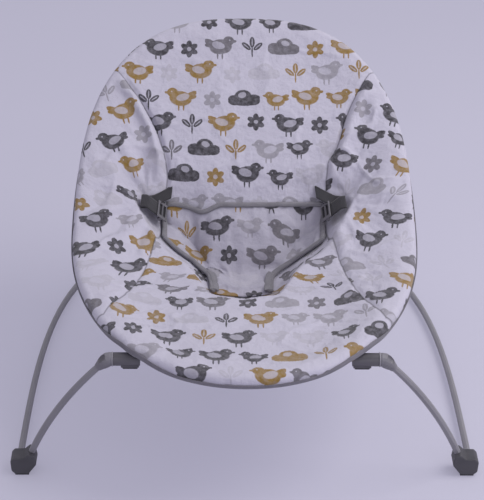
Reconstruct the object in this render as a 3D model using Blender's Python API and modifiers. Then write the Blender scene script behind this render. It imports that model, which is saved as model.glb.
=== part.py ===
"""Baby bouncer: a wire base with spring arms, swivelling hubs and a fabric seat on an oval tube ring.

Metres, +Z up, +X to the sitter's left as seen from the foot end, +Y towards the head end.
"""
import math

import bmesh
import bpy
import numpy as np
from mathutils import Matrix, Vector
from mathutils.bvhtree import BVHTree

CLEARANCE = 0.0003
MERGE = 0.00001

WIRE_RADIUS = 0.004
WIRE_HOLE_RADIUS = WIRE_RADIUS + CLEARANCE

BASE_HALF_WIDTH = 0.263
BASE_LENGTH = 0.590
BASE_CORNER_POWER = 3.3
BASE_POINTS = 61
RAIL_HEIGHT_AT_FOOT = 0.010

GRIP_RADIUS = 0.007
GRIP_LENGTH = 0.060
GRIP_POSITION = 0.110

FOOT_DEPTH = 0.024
FOOT_SOLE_GAP = 0.0003
FOOT_BEVEL = 0.0014
FOOT_OUTLINE = (
    (0.0090, 0.0000),
    (0.0250, 0.0000),
    (0.0290, 0.0035),
    (0.0300, 0.0165),
    (0.0265, 0.0205),
    (0.0150, 0.0205),
    (0.0085, 0.0262),
    (0.0020, 0.0236),
    (0.0000, 0.0120),
)
FOOT_RAIL_OFFSET = 0.0210
RAIL_SOCKET_DEPTH = 0.015
SOLE_THICKNESS = 0.0020
SOLE_INSET = 0.0015
FOOT_SCREW_RADIUS = 0.0015
FOOT_SCREW_HEAD_RADIUS = 0.0030
FOOT_SCREW_SINK = 0.0004

PIVOT_HEIGHT = 0.1630
PIVOT_SETBACK = 0.022
ARM_BEND_RADIUS = 0.008
ARM_TOP_ANGLE = math.radians(44.0)
ARM_FOOT_ANGLE = math.radians(70.0)
ARM_FOOT_OFFSET = 0.0090
ARM_FOOT_DEPTH = 0.0150
ARM_TOP_HANDLE = 0.050
ARM_FOOT_HANDLE = 0.060
ARM_CURVE_POINTS = 16
ARM_BEND_POINTS = 5

BARREL_RADIUS = 0.0076
BARREL_INNER_END = 0.1190
BARREL_OUTER_END = 0.1490
BARREL_END_WALL = 0.0020
GROOVE_DEPTH = 0.0012
GROOVE_WIDTH = 0.0034
GROOVE_PLACE = 0.1446
WASHER_RADIUS = 0.0083
WASHER_THICKNESS = 0.0012
ELBOW_LENGTH = 0.0200
ELBOW_STRAIGHT = 0.0010
ELBOW_SECTIONS = (
    (0.00, 1.00),
    (0.06, 1.04),
    (0.22, 1.08),
    (0.40, 1.06),
    (0.58, 0.96),
    (0.74, 0.82),
    (0.88, 0.70),
    (1.00, 0.63),
)
ELBOW_SLOT_SIZE = (0.0125, 0.0080, 0.0034)
ELBOW_SLOT_PLACE = 0.40
ELBOW_SLOT_TILT = math.radians(24.0)

SOCKET_RADIUS = 0.0064
SOCKET_HALF_LENGTH = 0.0240
SOCKET_RISE = 0.0118
BOW_END_PLACE = 0.0095

BUTTON_SIZE = (0.0170, 0.0078, 0.0039)
BUTTON_LEDGE = 0.0006
BUTTON_LEDGE_HEIGHT = 0.0008
BUTTON_TRAVEL = 0.0010
BUTTON_STAND_OUT = 0.0024
BUTTON_BOSS_WALL = 0.0016
BUTTON_PLACE = 0.1302
BUTTON_CEILING_WEB = 0.0008
SPRING_THICKNESS = 0.00035
SPRING_WIDTH = 0.0045
SPRING_LENGTH = 0.0140

SCREW_RADIUS = 0.0013
SCREW_HEAD_RADIUS = 0.0024
SCREW_HEAD_HEIGHT = 0.0014
SCREW_HOLE_CLEARANCE = 0.0002
SCREW_KEY_SHARE = 0.5
SOCKET_SCREW_OFFSET = 0.0175
SOCKET_SCREW_SINK = 0.0006
SOCKET_SCREW_BITE = 0.0030

RING_TUBE_RADIUS = 0.005
RING_TUBE_HOLE = RING_TUBE_RADIUS + CLEARANCE
RING_HALF_WIDTH = 0.2015
RING_BACK_LENGTH = 0.2975
RING_FRONT_LENGTH = 0.309
RING_BACK_POWER = 2.64
RING_FRONT_POWER = 2.09
RING_BACK_SLOPE = math.radians(38.0)
RING_FRONT_SLOPE = math.radians(4.5)
RING_BEND_HALF_LENGTH = 0.120
RING_POINTS = 88
HUB_CROSSING_X = 0.123

HEM_RADIUS = 0.0074
BINDING_RADIUS = 0.0020
BINDING_DROP_ANGLE = math.radians(30.0)
BINDING_HUB_ANGLE = math.radians(-20.0)
BINDING_HUB_LENGTH = 0.020
BINDING_TURN_LENGTH = 0.040

SLING_THICKNESS = 0.003
SLING_EDGE_GAP = 0.0008
SLING_COLUMNS = 28
SLING_ROWS = 42
# How far the fabric hangs below the ring's sheet along its middle, front (-1) to back (1), in two
# layers: the flat lap with the back panel, and the pocket sunk into it.
LAP_DEPTHS = (
    (-1.00, 0.0000),
    (-0.90, 0.0042),
    (-0.75, 0.0092),
    (-0.60, 0.0136),
    (-0.50, 0.0176),
    (-0.42, 0.0212),
    (-0.30, 0.0240),
    (0.00, 0.0245),
    (0.16, 0.0235),
    (0.36, 0.0180),
    (0.53, 0.0100),
    (0.70, 0.0052),
    (1.00, 0.0000),
)
LAP_SEAMS = (
    (-1.00, 0.80),
    (-0.60, 0.74),
    (-0.42, 0.62),
    (-0.20, 0.56),
    (0.05, 0.50),
    (0.20, 0.46),
    (0.36, 0.50),
    (0.53, 0.63),
    (0.75, 0.80),
    (1.00, 0.80),
)
POCKET_DEPTHS = (
    (-1.00, 0.0000),
    (-0.40, 0.0000),
    (-0.36, 0.0040),
    (-0.31, 0.0180),
    (-0.25, 0.0360),
    (-0.18, 0.0500),
    (-0.10, 0.0595),
    (-0.03, 0.0605),
    (0.06, 0.0420),
    (0.16, 0.0215),
    (0.36, 0.0000),
    (1.00, 0.0000),
)
POCKET_SEAMS = (
    (-1.00, 0.32),
    (-0.14, 0.32),
    (0.05, 0.38),
    (0.20, 0.44),
    (1.00, 0.50),
)
# The pocket's front lip bends back toward the hubs: half widths with the lip's place along the seat.
POCKET_LIP = (
    (0.000, -0.110),
    (0.037, -0.100),
    (0.068, -0.046),
    (0.096, -0.022),
    (0.119, 0.010),
    (0.136, 0.044),
    (0.155, 0.064),
    (0.200, 0.070),
)
POCKET_LIP_END = 0.100
POCKET_HALF_WIDTH = 0.162
SEAM_SHARPNESS = 6.0
RIM_SOFTNESS = 0.12
SLING_PROBE = 0.004

PANEL_THICKNESS = 0.0045
PANEL_LIFT = 0.0034
PANEL_EDGE = (
    (-0.045, 0.036),
    (-0.032, 0.036),
    (-0.018, 0.036),
    (-0.006, 0.036),
    (0.002, 0.039),
    (0.010, 0.060),
    (0.018, 0.084),
    (0.027, 0.104),
    (0.036, 0.104),
    (0.045, 0.104),
    (0.055, 0.098),
)
PANEL_COLUMNS = 20

STRAP_WIDTH = 0.020
STRAP_THICKNESS = 0.0012
STRAP_START_GAP = 0.0034
STRAP_PLAY = 0.0006
STRAP_RETURN_LIFT = 0.0085
STRAP_LIFT = 0.0026
STRAP_SEWN_LIFT = 0.0006
STRAP_ANCHOR = (0.091, 0.0700)
STRAP_FOLD = (0.1330, 0.0440)
STRAP_FOLD_DEPTH = 0.0025
STRAP_LEVEL = 0.0405

SLIDER_LENGTH = 0.0150
SLIDER_BAR = 0.0020
SLIDER_THICKNESS = 0.0020
SLIDER_BRIDGE = 0.0016
SLIDER_BRIDGE_WIDTH = 0.0035

FRAME_PAINT = "8B8986"
FOOT_PLASTIC = "4A494D"
HUB_PLASTIC = "5B5A5D"
TRIM_PLASTIC = "A3A2A3"
BLACK_PLASTIC = "2B2A2D"
SOLE_RUBBER = "333236"
ZINC_STEEL = "B4B4B8"
COVER_COTTON = "ECEAF0"
BINDING_TAPE = "6E6B72"
WEBBING_TAPE = "46464A"


def clear_scene():
    for item in list(bpy.data.objects):
        bpy.data.objects.remove(item, do_unlink=True)


def linear(channel):
    return channel / 12.92 if channel <= 0.04045 else ((channel + 0.055) / 1.055) ** 2.4


def make_material(name, colour, roughness, metallic=0.0):
    material = bpy.data.materials.new(name)
    material.use_nodes = True
    shader = material.node_tree.nodes["Principled BSDF"]
    values = [linear(int(colour[i:i + 2], 16) / 255.0) for i in (0, 2, 4)]
    shader.inputs["Base Color"].default_value = (*values, 1.0)
    shader.inputs["Roughness"].default_value = roughness
    shader.inputs["Metallic"].default_value = metallic
    return material


def make_collection(name):
    collection = bpy.data.collections.new(name)
    bpy.context.scene.collection.children.link(collection)
    return collection


clear_scene()
PARTS = make_collection("baby_bouncer")
GUIDES = make_collection("guides")

POWDER_COAT = make_material("powder_coated_steel", FRAME_PAINT, 0.38, 0.35)
FOOT_NYLON = make_material("foot_nylon", FOOT_PLASTIC, 0.55)
HUB_NYLON = make_material("hub_nylon", HUB_PLASTIC, 0.5)
TRIM_NYLON = make_material("trim_nylon", TRIM_PLASTIC, 0.45)
BUTTON_NYLON = make_material("button_nylon", BLACK_PLASTIC, 0.5)
RUBBER = make_material("rubber", SOLE_RUBBER, 0.85)
ZINC = make_material("zinc_plated_steel", ZINC_STEEL, 0.3, 1.0)
COTTON = make_material("printed_cotton", COVER_COTTON, 0.9)
BINDING = make_material("binding_tape", BINDING_TAPE, 0.85)
WEBBING = make_material("webbing", WEBBING_TAPE, 0.8)


def finish_object(item, material):
    item.data.materials.clear()
    item.data.materials.append(material)


def add_mesh_object(name, mesh, collection):
    item = bpy.data.objects.new(name, mesh)
    collection.objects.link(item)
    return item


def guide(item):
    item.hide_render = True
    item.display_type = "WIRE"
    return item


def curve_tube(name, points, radius, collection, scales=None, capped=True, sides=2):
    """A wire or tube on a chain of straight stretches, its section upright all along."""
    data = bpy.data.curves.new(name, "CURVE")
    data.dimensions = "3D"
    data.fill_mode = "FULL"
    data.twist_mode = "Z_UP"
    data.bevel_depth = radius
    data.bevel_resolution = sides
    data.use_fill_caps = capped
    spline = data.splines.new("POLY")
    spline.points.add(len(points) - 1)
    for index, point in enumerate(points):
        spline.points[index].co = (*point, 1.0)
        spline.points[index].radius = scales[index] if scales is not None else 1.0
    item = bpy.data.objects.new(name, data)
    collection.objects.link(item)
    return item


def curve_to_mesh(item):
    """Turn a curve object into a mesh with its end caps welded on."""
    depsgraph = bpy.context.evaluated_depsgraph_get()
    mesh = bpy.data.meshes.new_from_object(item.evaluated_get(depsgraph))
    bm = bmesh.new()
    bm.from_mesh(mesh)
    bmesh.ops.remove_doubles(bm, verts=bm.verts, dist=MERGE)
    bm.to_mesh(mesh)
    bm.free()
    name = item.name
    matrix = item.matrix_world.copy()
    collection = item.users_collection[0]
    bpy.data.objects.remove(item, do_unlink=True)
    solid = add_mesh_object(name, mesh, collection)
    solid.matrix_world = matrix
    return solid


def tube_solid(name, points, radius, collection, scales=None, sides=2):
    return curve_to_mesh(curve_tube(name, points, radius, collection, scales, sides=sides))


def sleeve(name, points, outer, inner, material):
    """A soft sleeve open at both ends, with a wall between the two radii."""
    skin = curve_to_mesh(curve_tube(name, points, outer, PARTS, capped=False))
    wall = skin.modifiers.new("wall", "SOLIDIFY")
    wall.thickness = outer - inner
    wall.offset = -1.0
    finish_object(skin, material)
    return skin


def cylinder_along(name, start, end, radius, collection, sides=24):
    """A round bar between two points."""
    start = Vector(start)
    end = Vector(end)
    mesh = bpy.data.meshes.new(name)
    bm = bmesh.new()
    bmesh.ops.create_cone(
        bm,
        cap_ends=True,
        segments=sides,
        radius1=radius,
        radius2=radius,
        depth=(end - start).length,
    )
    turn = (end - start).to_track_quat("Z", "Y").to_matrix().to_4x4()
    bmesh.ops.transform(bm, matrix=Matrix.Translation((start + end) / 2) @ turn, verts=bm.verts)
    bm.to_mesh(mesh)
    bm.free()
    return add_mesh_object(name, mesh, collection)


def box_at(name, centre, size, collection, axes=None):
    """A block of a given size, turned so that its sides follow the given axes."""
    mesh = bpy.data.meshes.new(name)
    bm = bmesh.new()
    bmesh.ops.create_cube(bm, size=1.0)
    bmesh.ops.scale(bm, vec=size, verts=bm.verts)
    bm.to_mesh(mesh)
    bm.free()
    item = add_mesh_object(name, mesh, collection)
    turn = Matrix(axes).transposed().to_4x4() if axes is not None else Matrix.Identity(4)
    item.matrix_world = Matrix.Translation(Vector(centre)) @ turn
    return item


def combine(item, other, operation):
    change = item.modifiers.new(other.name, "BOOLEAN")
    change.operation = operation
    change.solver = "EXACT"
    change.object = guide(other)


def cut(item, cutter):
    combine(item, cutter, "DIFFERENCE")


def join(item, addition):
    combine(item, addition, "UNION")


def round_edges(item, width, segments=2, angle=math.radians(30.0)):
    edge = item.modifiers.new("rounded_edges", "BEVEL")
    edge.width = width
    edge.segments = segments
    edge.limit_method = "ANGLE"
    edge.angle_limit = angle


def smooth(item, angle=math.radians(35.0)):
    item.data.shade_smooth()
    item.data.set_sharp_from_angle(angle=angle)


def fit_screw(name, top, inwards, head_radius, radius, length, pieces):
    """A socket-head screw, with its seat and its hole through all the pieces it fixes."""
    seat = top + inwards * SCREW_HEAD_HEIGHT
    tip = seat + inwards * length
    outside = top - inwards * SCREW_HEAD_HEIGHT
    recess_end = seat + inwards * CLEARANCE
    recess_radius = head_radius + CLEARANCE
    hole_radius = radius + SCREW_HOLE_CLEARANCE
    for piece in pieces:
        seat_name = f"{name}_seat_in_{piece.name}"
        cut(piece, cylinder_along(seat_name, outside, recess_end, recess_radius, GUIDES))
        hole_name = f"{name}_hole_in_{piece.name}"
        cut(piece, cylinder_along(hole_name, top, tip + inwards * CLEARANCE, hole_radius, GUIDES, sides=16))
    screw = cylinder_along(name, top, seat, head_radius, PARTS, sides=20)
    neck = top + inwards * SCREW_HEAD_HEIGHT * 0.8
    join(screw, cylinder_along(f"{name}_shank", neck, tip, radius, GUIDES, sides=12))
    key_end = top + inwards * SCREW_HEAD_HEIGHT * SCREW_KEY_SHARE
    key_radius = head_radius * SCREW_KEY_SHARE
    cut(screw, cylinder_along(f"{name}_key", outside, key_end, key_radius, GUIDES, sides=6))
    finish_object(screw, ZINC)


def lengths_along(points):
    steps = np.linalg.norm(np.diff(points, axis=0), axis=1)
    return np.concatenate([[0.0], np.cumsum(steps)])


def stretch(points, start, end):
    """The part of a chain of points between two lengths along it, corners included."""
    along = lengths_along(points)
    ends = [[np.interp(place, along, points[:, axis]) for axis in range(3)] for place in (start, end)]
    inside = points[(along > start + MERGE) & (along < end - MERGE)]
    return np.vstack([ends[0], inside, ends[1]])


def superellipse(power, count):
    """A quarter outline from (1, 0) to (0, 1), evenly spaced in angle."""
    angle = np.linspace(0.0, math.pi / 2, count)
    return np.cos(angle) ** (2 / power), np.sin(angle) ** (2 / power)


def resample(points, count):
    """Even spacing along a chain of points; further columns are carried along."""
    along = lengths_along(points[:, :3])
    places = np.linspace(0.0, along[-1], count)
    return np.stack([np.interp(places, along, points[:, axis]) for axis in range(points.shape[1])], 1)


FOOT_BOTTOM = SOLE_THICKNESS + FOOT_SOLE_GAP
FOOT_INNER_X = BASE_HALF_WIDTH - FOOT_RAIL_OFFSET
PIVOT_Y = -PIVOT_SETBACK
FOOT_BACK = FOOT_DEPTH / 2
BOUNCE_HEIGHT = FOOT_BOTTOM + FOOT_OUTLINE[5][1]
ELBOW_START = BARREL_OUTER_END + WASHER_THICKNESS + 2 * CLEARANCE


def base_path():
    """The rail from one foot, round the head end, to the other foot."""
    across, along = superellipse(BASE_CORNER_POWER, 400)
    rail_start = FOOT_BACK - RAIL_SOCKET_DEPTH
    half = np.stack([BASE_HALF_WIDTH * across, rail_start + BASE_LENGTH * along], 1)
    plan = np.vstack([half, half[-2::-1] * (-1.0, 1.0)])
    plan = resample(plan, BASE_POINTS)
    share = (plan[:, 1] - rail_start) / BASE_LENGTH
    height = RAIL_HEIGHT_AT_FOOT + (GRIP_RADIUS - RAIL_HEIGHT_AT_FOOT) * share
    return np.column_stack([plan, height])


def arm_path(side):
    """The spring arm from inside the foot, up and inwards, to the pivot inside the hub."""
    bend_x = ELBOW_START + ELBOW_STRAIGHT
    top = np.array([
        bend_x + ARM_BEND_RADIUS * math.sin(ARM_TOP_ANGLE),
        PIVOT_HEIGHT - ARM_BEND_RADIUS * (1 - math.cos(ARM_TOP_ANGLE)),
    ])
    foot = np.array([FOOT_INNER_X + ARM_FOOT_OFFSET, FOOT_BOTTOM + ARM_FOOT_DEPTH])
    foot_handle = foot + ARM_FOOT_HANDLE * np.array([-math.cos(ARM_FOOT_ANGLE), math.sin(ARM_FOOT_ANGLE)])
    top_handle = top + ARM_TOP_HANDLE * np.array([math.cos(ARM_TOP_ANGLE), -math.sin(ARM_TOP_ANGLE)])
    t = np.linspace(0.0, 1.0, ARM_CURVE_POINTS)[:, None]
    sweep = (1 - t) ** 3 * foot + 3 * (1 - t) ** 2 * t * foot_handle
    sweep = sweep + 3 * (1 - t) * t ** 2 * top_handle + t ** 3 * top
    angles = np.linspace(ARM_TOP_ANGLE, 0.0, ARM_BEND_POINTS)[1:]
    bend = np.column_stack([
        bend_x + ARM_BEND_RADIUS * np.sin(angles),
        PIVOT_HEIGHT - ARM_BEND_RADIUS * (1 - np.cos(angles)),
    ])
    arm_end = BARREL_INNER_END + BARREL_END_WALL + CLEARANCE
    pivot = np.array([[arm_end, PIVOT_HEIGHT]])
    profile = np.vstack([sweep, bend, pivot])
    lean = np.clip((profile[:, 1] - foot[1]) / (top[1] - foot[1]), 0.0, 1.0)
    return np.column_stack([side * profile[:, 0], PIVOT_Y * lean, profile[:, 1]])


def blend_slope(s):
    share = np.clip((s + RING_BEND_HALF_LENGTH) / (2 * RING_BEND_HALF_LENGTH), 0.0, 1.0)
    share = share * share * (3 - 2 * share)
    return RING_FRONT_SLOPE + (RING_BACK_SLOPE - RING_FRONT_SLOPE) * share


def ring_width(s, inset=0.0):
    """Half the ring's width at a distance s along its bent middle line."""
    s = np.asarray(s, float)
    length = np.where(s > 0, RING_BACK_LENGTH, RING_FRONT_LENGTH) - inset
    power = np.where(s > 0, RING_BACK_POWER, RING_FRONT_POWER)
    inside = np.clip(1 - np.abs(s / length) ** power, 0.0, 1.0)
    return (RING_HALF_WIDTH - inset) * inside ** (1 / power)


def side_profile():
    """The ring seen from the side: height and setback for each distance along the bent line."""
    s = np.linspace(-RING_FRONT_LENGTH, RING_BACK_LENGTH, 1201)
    slope = blend_slope(s)
    step = np.diff(s)
    y = np.concatenate([[0.0], np.cumsum(step * (np.cos(slope[1:]) + np.cos(slope[:-1])) / 2)])
    z = np.concatenate([[0.0], np.cumsum(step * (np.sin(slope[1:]) + np.sin(slope[:-1])) / 2)])
    share = 1 - (HUB_CROSSING_X / RING_HALF_WIDTH) ** RING_FRONT_POWER
    crossing = -RING_FRONT_LENGTH * share ** (1 / RING_FRONT_POWER)
    height = PIVOT_HEIGHT + SOCKET_RISE
    y += PIVOT_Y - np.interp(crossing, s, y)
    z += height - np.interp(crossing, s, z)
    return s, y, z


PROFILE_S, PROFILE_Y, PROFILE_Z = side_profile()


def on_ring_sheet(x, s, drop=0.0):
    """A point on the bent sheet that holds the ring, dropped square to that sheet."""
    slope = blend_slope(s)
    y = np.interp(s, PROFILE_S, PROFILE_Y) + drop * np.sin(slope)
    z = np.interp(s, PROFILE_S, PROFILE_Z) - drop * np.cos(slope)
    return np.stack(np.broadcast_arrays(x, y, z), -1)


def ring_outline(inset=0.0, count=600):
    """The ring in the plane of the sheet, from the front middle round by +X to the front middle."""
    front_x, front_s = superellipse(RING_FRONT_POWER, count)
    back_x, back_s = superellipse(RING_BACK_POWER, count)
    width = RING_HALF_WIDTH - inset
    front = np.stack([width * front_x, -(RING_FRONT_LENGTH - inset) * front_s], 1)[::-1]
    back = np.stack([width * back_x, (RING_BACK_LENGTH - inset) * back_s], 1)[1:]
    half = np.vstack([front, back])
    return np.vstack([half, half[-2::-1] * (-1.0, 1.0)])


def ring_path():
    """The seat tube's centre line, and how far along the bent sheet each of its points lies."""
    flat = ring_outline()
    sheet = on_ring_sheet(flat[:, 0], flat[:, 1])
    line = resample(np.column_stack([sheet, flat[:, 1]]), RING_POINTS)
    return line[:, :3], line[:, 3]


def closed_tube(name, points, radius, collection, sides=2):
    """A ring of wire or cord; the last point repeats the first and is left out."""
    item = curve_tube(name, points[:-1], radius, collection, capped=False, sides=sides)
    item.data.splines[0].use_cyclic_u = True
    return item


def smooth_table(table, place):
    """A smooth curve through a short table, without overshoot."""
    keys = np.array(table)
    x = keys[:, 0]
    y = keys[:, 1]
    slope = np.diff(y) / np.diff(x)
    tangent = np.zeros(len(x))
    same = slope[1:] * slope[:-1] > 0
    mean = 2 * slope[1:] * slope[:-1] / np.where(same, slope[1:] + slope[:-1], 1.0)
    tangent[1:-1] = np.where(same, mean, 0.0)
    tangent[0] = slope[0]
    tangent[-1] = slope[-1]
    place = np.clip(place, x[0], x[-1])
    cell = np.clip(np.searchsorted(x, place, side="right") - 1, 0, len(x) - 2)
    width = x[cell + 1] - x[cell]
    t = (place - x[cell]) / width
    rise = (2 * t ** 3 - 3 * t ** 2 + 1) * y[cell] + (-2 * t ** 3 + 3 * t ** 2) * y[cell + 1]
    lean = (t ** 3 - 2 * t ** 2 + t) * tangent[cell] + (t ** 3 - t ** 2) * tangent[cell + 1]
    return rise + width * lean


SLING_INSET = HEM_RADIUS + SLING_EDGE_GAP


def hang_shape(inside, seam):
    """Share of the full depth across the seat: flat between the seams, then up to the rim."""
    ramp = inside ** 2 * (1 + RIM_SOFTNESS) / (inside + RIM_SOFTNESS) / (1 - seam)
    full = 1 / (1 - seam)
    shape = ramp / (1 + ramp ** SEAM_SHARPNESS) ** (1 / SEAM_SHARPNESS)
    whole = full / (1 + full ** SEAM_SHARPNESS) ** (1 / SEAM_SHARPNESS)
    return shape / whole


def behind_lip(x, s):
    """The place along the seat whose depth the pocket takes here, so that its lip follows its table."""
    lip = smooth_table(POCKET_LIP, np.abs(x))
    stretch = (POCKET_LIP_END - POCKET_LIP[0][1]) / (POCKET_LIP_END - lip)
    return np.where(s < POCKET_LIP_END, POCKET_LIP_END - (POCKET_LIP_END - s) * stretch, s)


def share_along(s):
    length = np.where(s > 0, RING_BACK_LENGTH, RING_FRONT_LENGTH) - SLING_INSET
    return np.clip(s / length, -1.0, 1.0)


def sling_depth(x, s):
    """How far the fabric hangs below the ring's sheet."""
    width = np.maximum(ring_width(s, SLING_INSET), MERGE)
    inside = np.clip(1 - np.abs(x) / width, 0.0, 1.0)
    share = share_along(s)
    deep = share_along(behind_lip(x, s))
    lap = smooth_table(LAP_DEPTHS, share) * hang_shape(inside, smooth_table(LAP_SEAMS, share))
    within = np.clip(1 - np.abs(x) / np.minimum(width, POCKET_HALF_WIDTH), 0.0, 1.0)
    pocket = smooth_table(POCKET_DEPTHS, deep) * hang_shape(within, smooth_table(POCKET_SEAMS, share))
    return lap + pocket


def sling_point(x, s):
    """A point on the fabric's underside."""
    return on_ring_sheet(x, s, sling_depth(x, s))


def on_fabric(fabric, x, s, lift):
    """A point lifted square off the fabric's upper face, which is found by looking down on it."""
    above = Vector(on_ring_sheet(x, s, -HEM_RADIUS))
    down = Vector(on_ring_sheet(x, s)) - above
    place = fabric.ray_cast(above, down)[0]
    reach = SLING_PROBE
    across = sling_point(x + reach, s) - sling_point(x - reach, s)
    along = sling_point(x, s + reach) - sling_point(x, s - reach)
    return place + Vector(np.cross(across, along)).normalized() * lift


def sheet_from_grid(name, points, thickness, material, diagonals=()):
    """A soft sheet on a grid of points, thickened to the side it faces and closed all round."""
    rows, columns = points.shape[:2]
    bm = bmesh.new()
    bmesh.ops.create_grid(bm, x_segments=columns - 1, y_segments=rows - 1, size=1.0)
    bm.verts.ensure_lookup_table()
    for index, vert in enumerate(bm.verts):
        vert.co = points[index // columns, index % columns]
    for way, method in diagonals:
        half = [face for face in bm.faces if face.calc_center_median().x * way > 0]
        bmesh.ops.triangulate(bm, faces=half, quad_method=method)
    mesh = bpy.data.meshes.new(name)
    bm.to_mesh(mesh)
    bm.free()
    item = add_mesh_object(name, mesh, PARTS)
    wall = item.modifiers.new("thickness", "SOLIDIFY")
    wall.thickness = thickness
    wall.offset = 1.0
    wall.use_even_offset = True
    finish_object(item, material)
    item.data.shade_smooth()
    return item


def make_base(path):
    rail = curve_tube("base_rail", path, WIRE_RADIUS, PARTS)
    finish_object(rail, POWDER_COAT)
    along = lengths_along(path)
    half = len(path) // 2
    for side, label in ((1, "left"), (-1, "right")):
        stretch_points = slice(half + 1) if side > 0 else slice(half, len(path))
        place = np.interp(-GRIP_POSITION * side, -path[stretch_points, 0], along[stretch_points])
        points = stretch(path, place - GRIP_LENGTH / 2, place + GRIP_LENGTH / 2)
        sleeve(f"rear_grip_{label}", points, GRIP_RADIUS, WIRE_HOLE_RADIUS, RUBBER)


def make_foot(side, label, rail_points, arm_points):
    """A faceted plastic foot: rail socket behind, arm socket in the raised lobe, sole below."""
    outline = [(side * (FOOT_INNER_X + u), FOOT_BOTTOM + v) for u, v in FOOT_OUTLINE]
    data = bpy.data.curves.new(f"foot_{label}", "CURVE")
    data.dimensions = "2D"
    data.fill_mode = "BOTH"
    data.extrude = FOOT_DEPTH / 2
    spline = data.splines.new("POLY")
    spline.use_cyclic_u = True
    spline.points.add(len(outline) - 1)
    for point, (x, z) in zip(spline.points, outline):
        point.co = (x, z, 0.0, 1.0)
    flat = bpy.data.objects.new(f"foot_{label}", data)
    PARTS.objects.link(flat)
    flat.rotation_euler = (math.pi / 2, 0.0, 0.0)
    bpy.context.view_layer.update()
    foot = curve_to_mesh(flat)
    round_edges(foot, FOOT_BEVEL)
    cut(foot, tube_solid(f"rail_socket_{label}", rail_points, WIRE_HOLE_RADIUS, GUIDES))
    cut(foot, tube_solid(f"arm_socket_{label}", arm_points, WIRE_HOLE_RADIUS, GUIDES))
    finish_object(foot, FOOT_NYLON)

    inner = FOOT_INNER_X + FOOT_OUTLINE[0][0]
    outer = FOOT_INNER_X + FOOT_OUTLINE[1][0]
    sole_size = (outer - inner, FOOT_DEPTH - 2 * SOLE_INSET, SOLE_THICKNESS)
    sole_centre = (side * (inner + outer) / 2, 0.0, SOLE_THICKNESS / 2)
    sole = box_at(f"foot_sole_{label}", sole_centre, sole_size, PARTS)
    round_edges(sole, SOLE_THICKNESS / 4, segments=1)
    finish_object(sole, RUBBER)

    outer_face = Vector((side * (FOOT_INNER_X + FOOT_OUTLINE[3][0]), 0.0, RAIL_HEIGHT_AT_FOOT))
    inwards = Vector((-side, 0.0, 0.0))
    depth = abs(outer_face.x) - BASE_HALF_WIDTH - WIRE_HOLE_RADIUS
    length = depth - SCREW_HEAD_HEIGHT - FOOT_SCREW_SINK
    place = outer_face + inwards * FOOT_SCREW_SINK
    radii = (FOOT_SCREW_HEAD_RADIUS, FOOT_SCREW_RADIUS)
    fit_screw(f"foot_screw_{label}", place, inwards, *radii, length, (foot,))


def make_arm(side, label, path):
    """The spring arm, with a groove near its inner end that the pivot screw runs in."""
    half = GROOVE_WIDTH / 2
    places = (half + MERGE * 8, half, -half, -half - MERGE * 8)
    groove = [(side * (GROOVE_PLACE + place), PIVOT_Y, PIVOT_HEIGHT) for place in places]
    points = np.vstack([path[:-1], groove, path[-1:]])
    neck = (WIRE_RADIUS - GROOVE_DEPTH) / WIRE_RADIUS
    scales = [1.0] * (len(path) - 1) + [1.0, neck, neck, 1.0, 1.0]
    arm = tube_solid(f"spring_arm_{label}", points, WIRE_RADIUS, PARTS, scales)
    finish_object(arm, POWDER_COAT)
    smooth(arm)


def make_elbow(side, label, path):
    """The moulded elbow on the arm's top bend, with an oval slot in its upper outer side."""
    from_hub = path[::-1]
    along = lengths_along(from_hub)
    begin = np.interp(ELBOW_START, np.abs(from_hub[:, 0]), along)
    places = [begin + share * ELBOW_LENGTH for share, _ in ELBOW_SECTIONS]
    centre = np.stack([np.interp(places, along, from_hub[:, axis]) for axis in range(3)], 1)
    scales = [scale for _, scale in ELBOW_SECTIONS]
    elbow = tube_solid(f"hub_elbow_{label}", centre, BARREL_RADIUS, PARTS, scales, sides=6)
    overrun = ELBOW_LENGTH / 4
    bore_points = stretch(from_hub, begin - overrun, begin + ELBOW_LENGTH + overrun)
    cut(elbow, tube_solid(f"elbow_bore_{label}", bore_points, WIRE_HOLE_RADIUS, GUIDES))

    slot_place = begin + ELBOW_SLOT_PLACE * ELBOW_LENGTH
    point = Vector([np.interp(slot_place, along, from_hub[:, axis]) for axis in range(3)])
    ahead = Vector([np.interp(slot_place + WIRE_RADIUS, along, from_hub[:, axis]) for axis in range(3)])
    run = (ahead - point).normalized()
    across = Vector((0.0, 1.0, 0.0))
    straight_out = run.cross(across) * side
    out = straight_out * math.cos(ELBOW_SLOT_TILT) - across * math.sin(ELBOW_SLOT_TILT)
    across = out.cross(run) * side
    centre_point = point + out * BARREL_RADIUS
    slot = box_at(
        f"elbow_slot_{label}",
        centre_point,
        (ELBOW_SLOT_SIZE[0], ELBOW_SLOT_SIZE[1], 2 * ELBOW_SLOT_SIZE[2]),
        GUIDES,
        (run, across, out),
    )
    round_edges(slot, ELBOW_SLOT_SIZE[0] * 0.42, segments=3)
    cut(elbow, slot)
    finish_object(elbow, HUB_NYLON)


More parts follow.
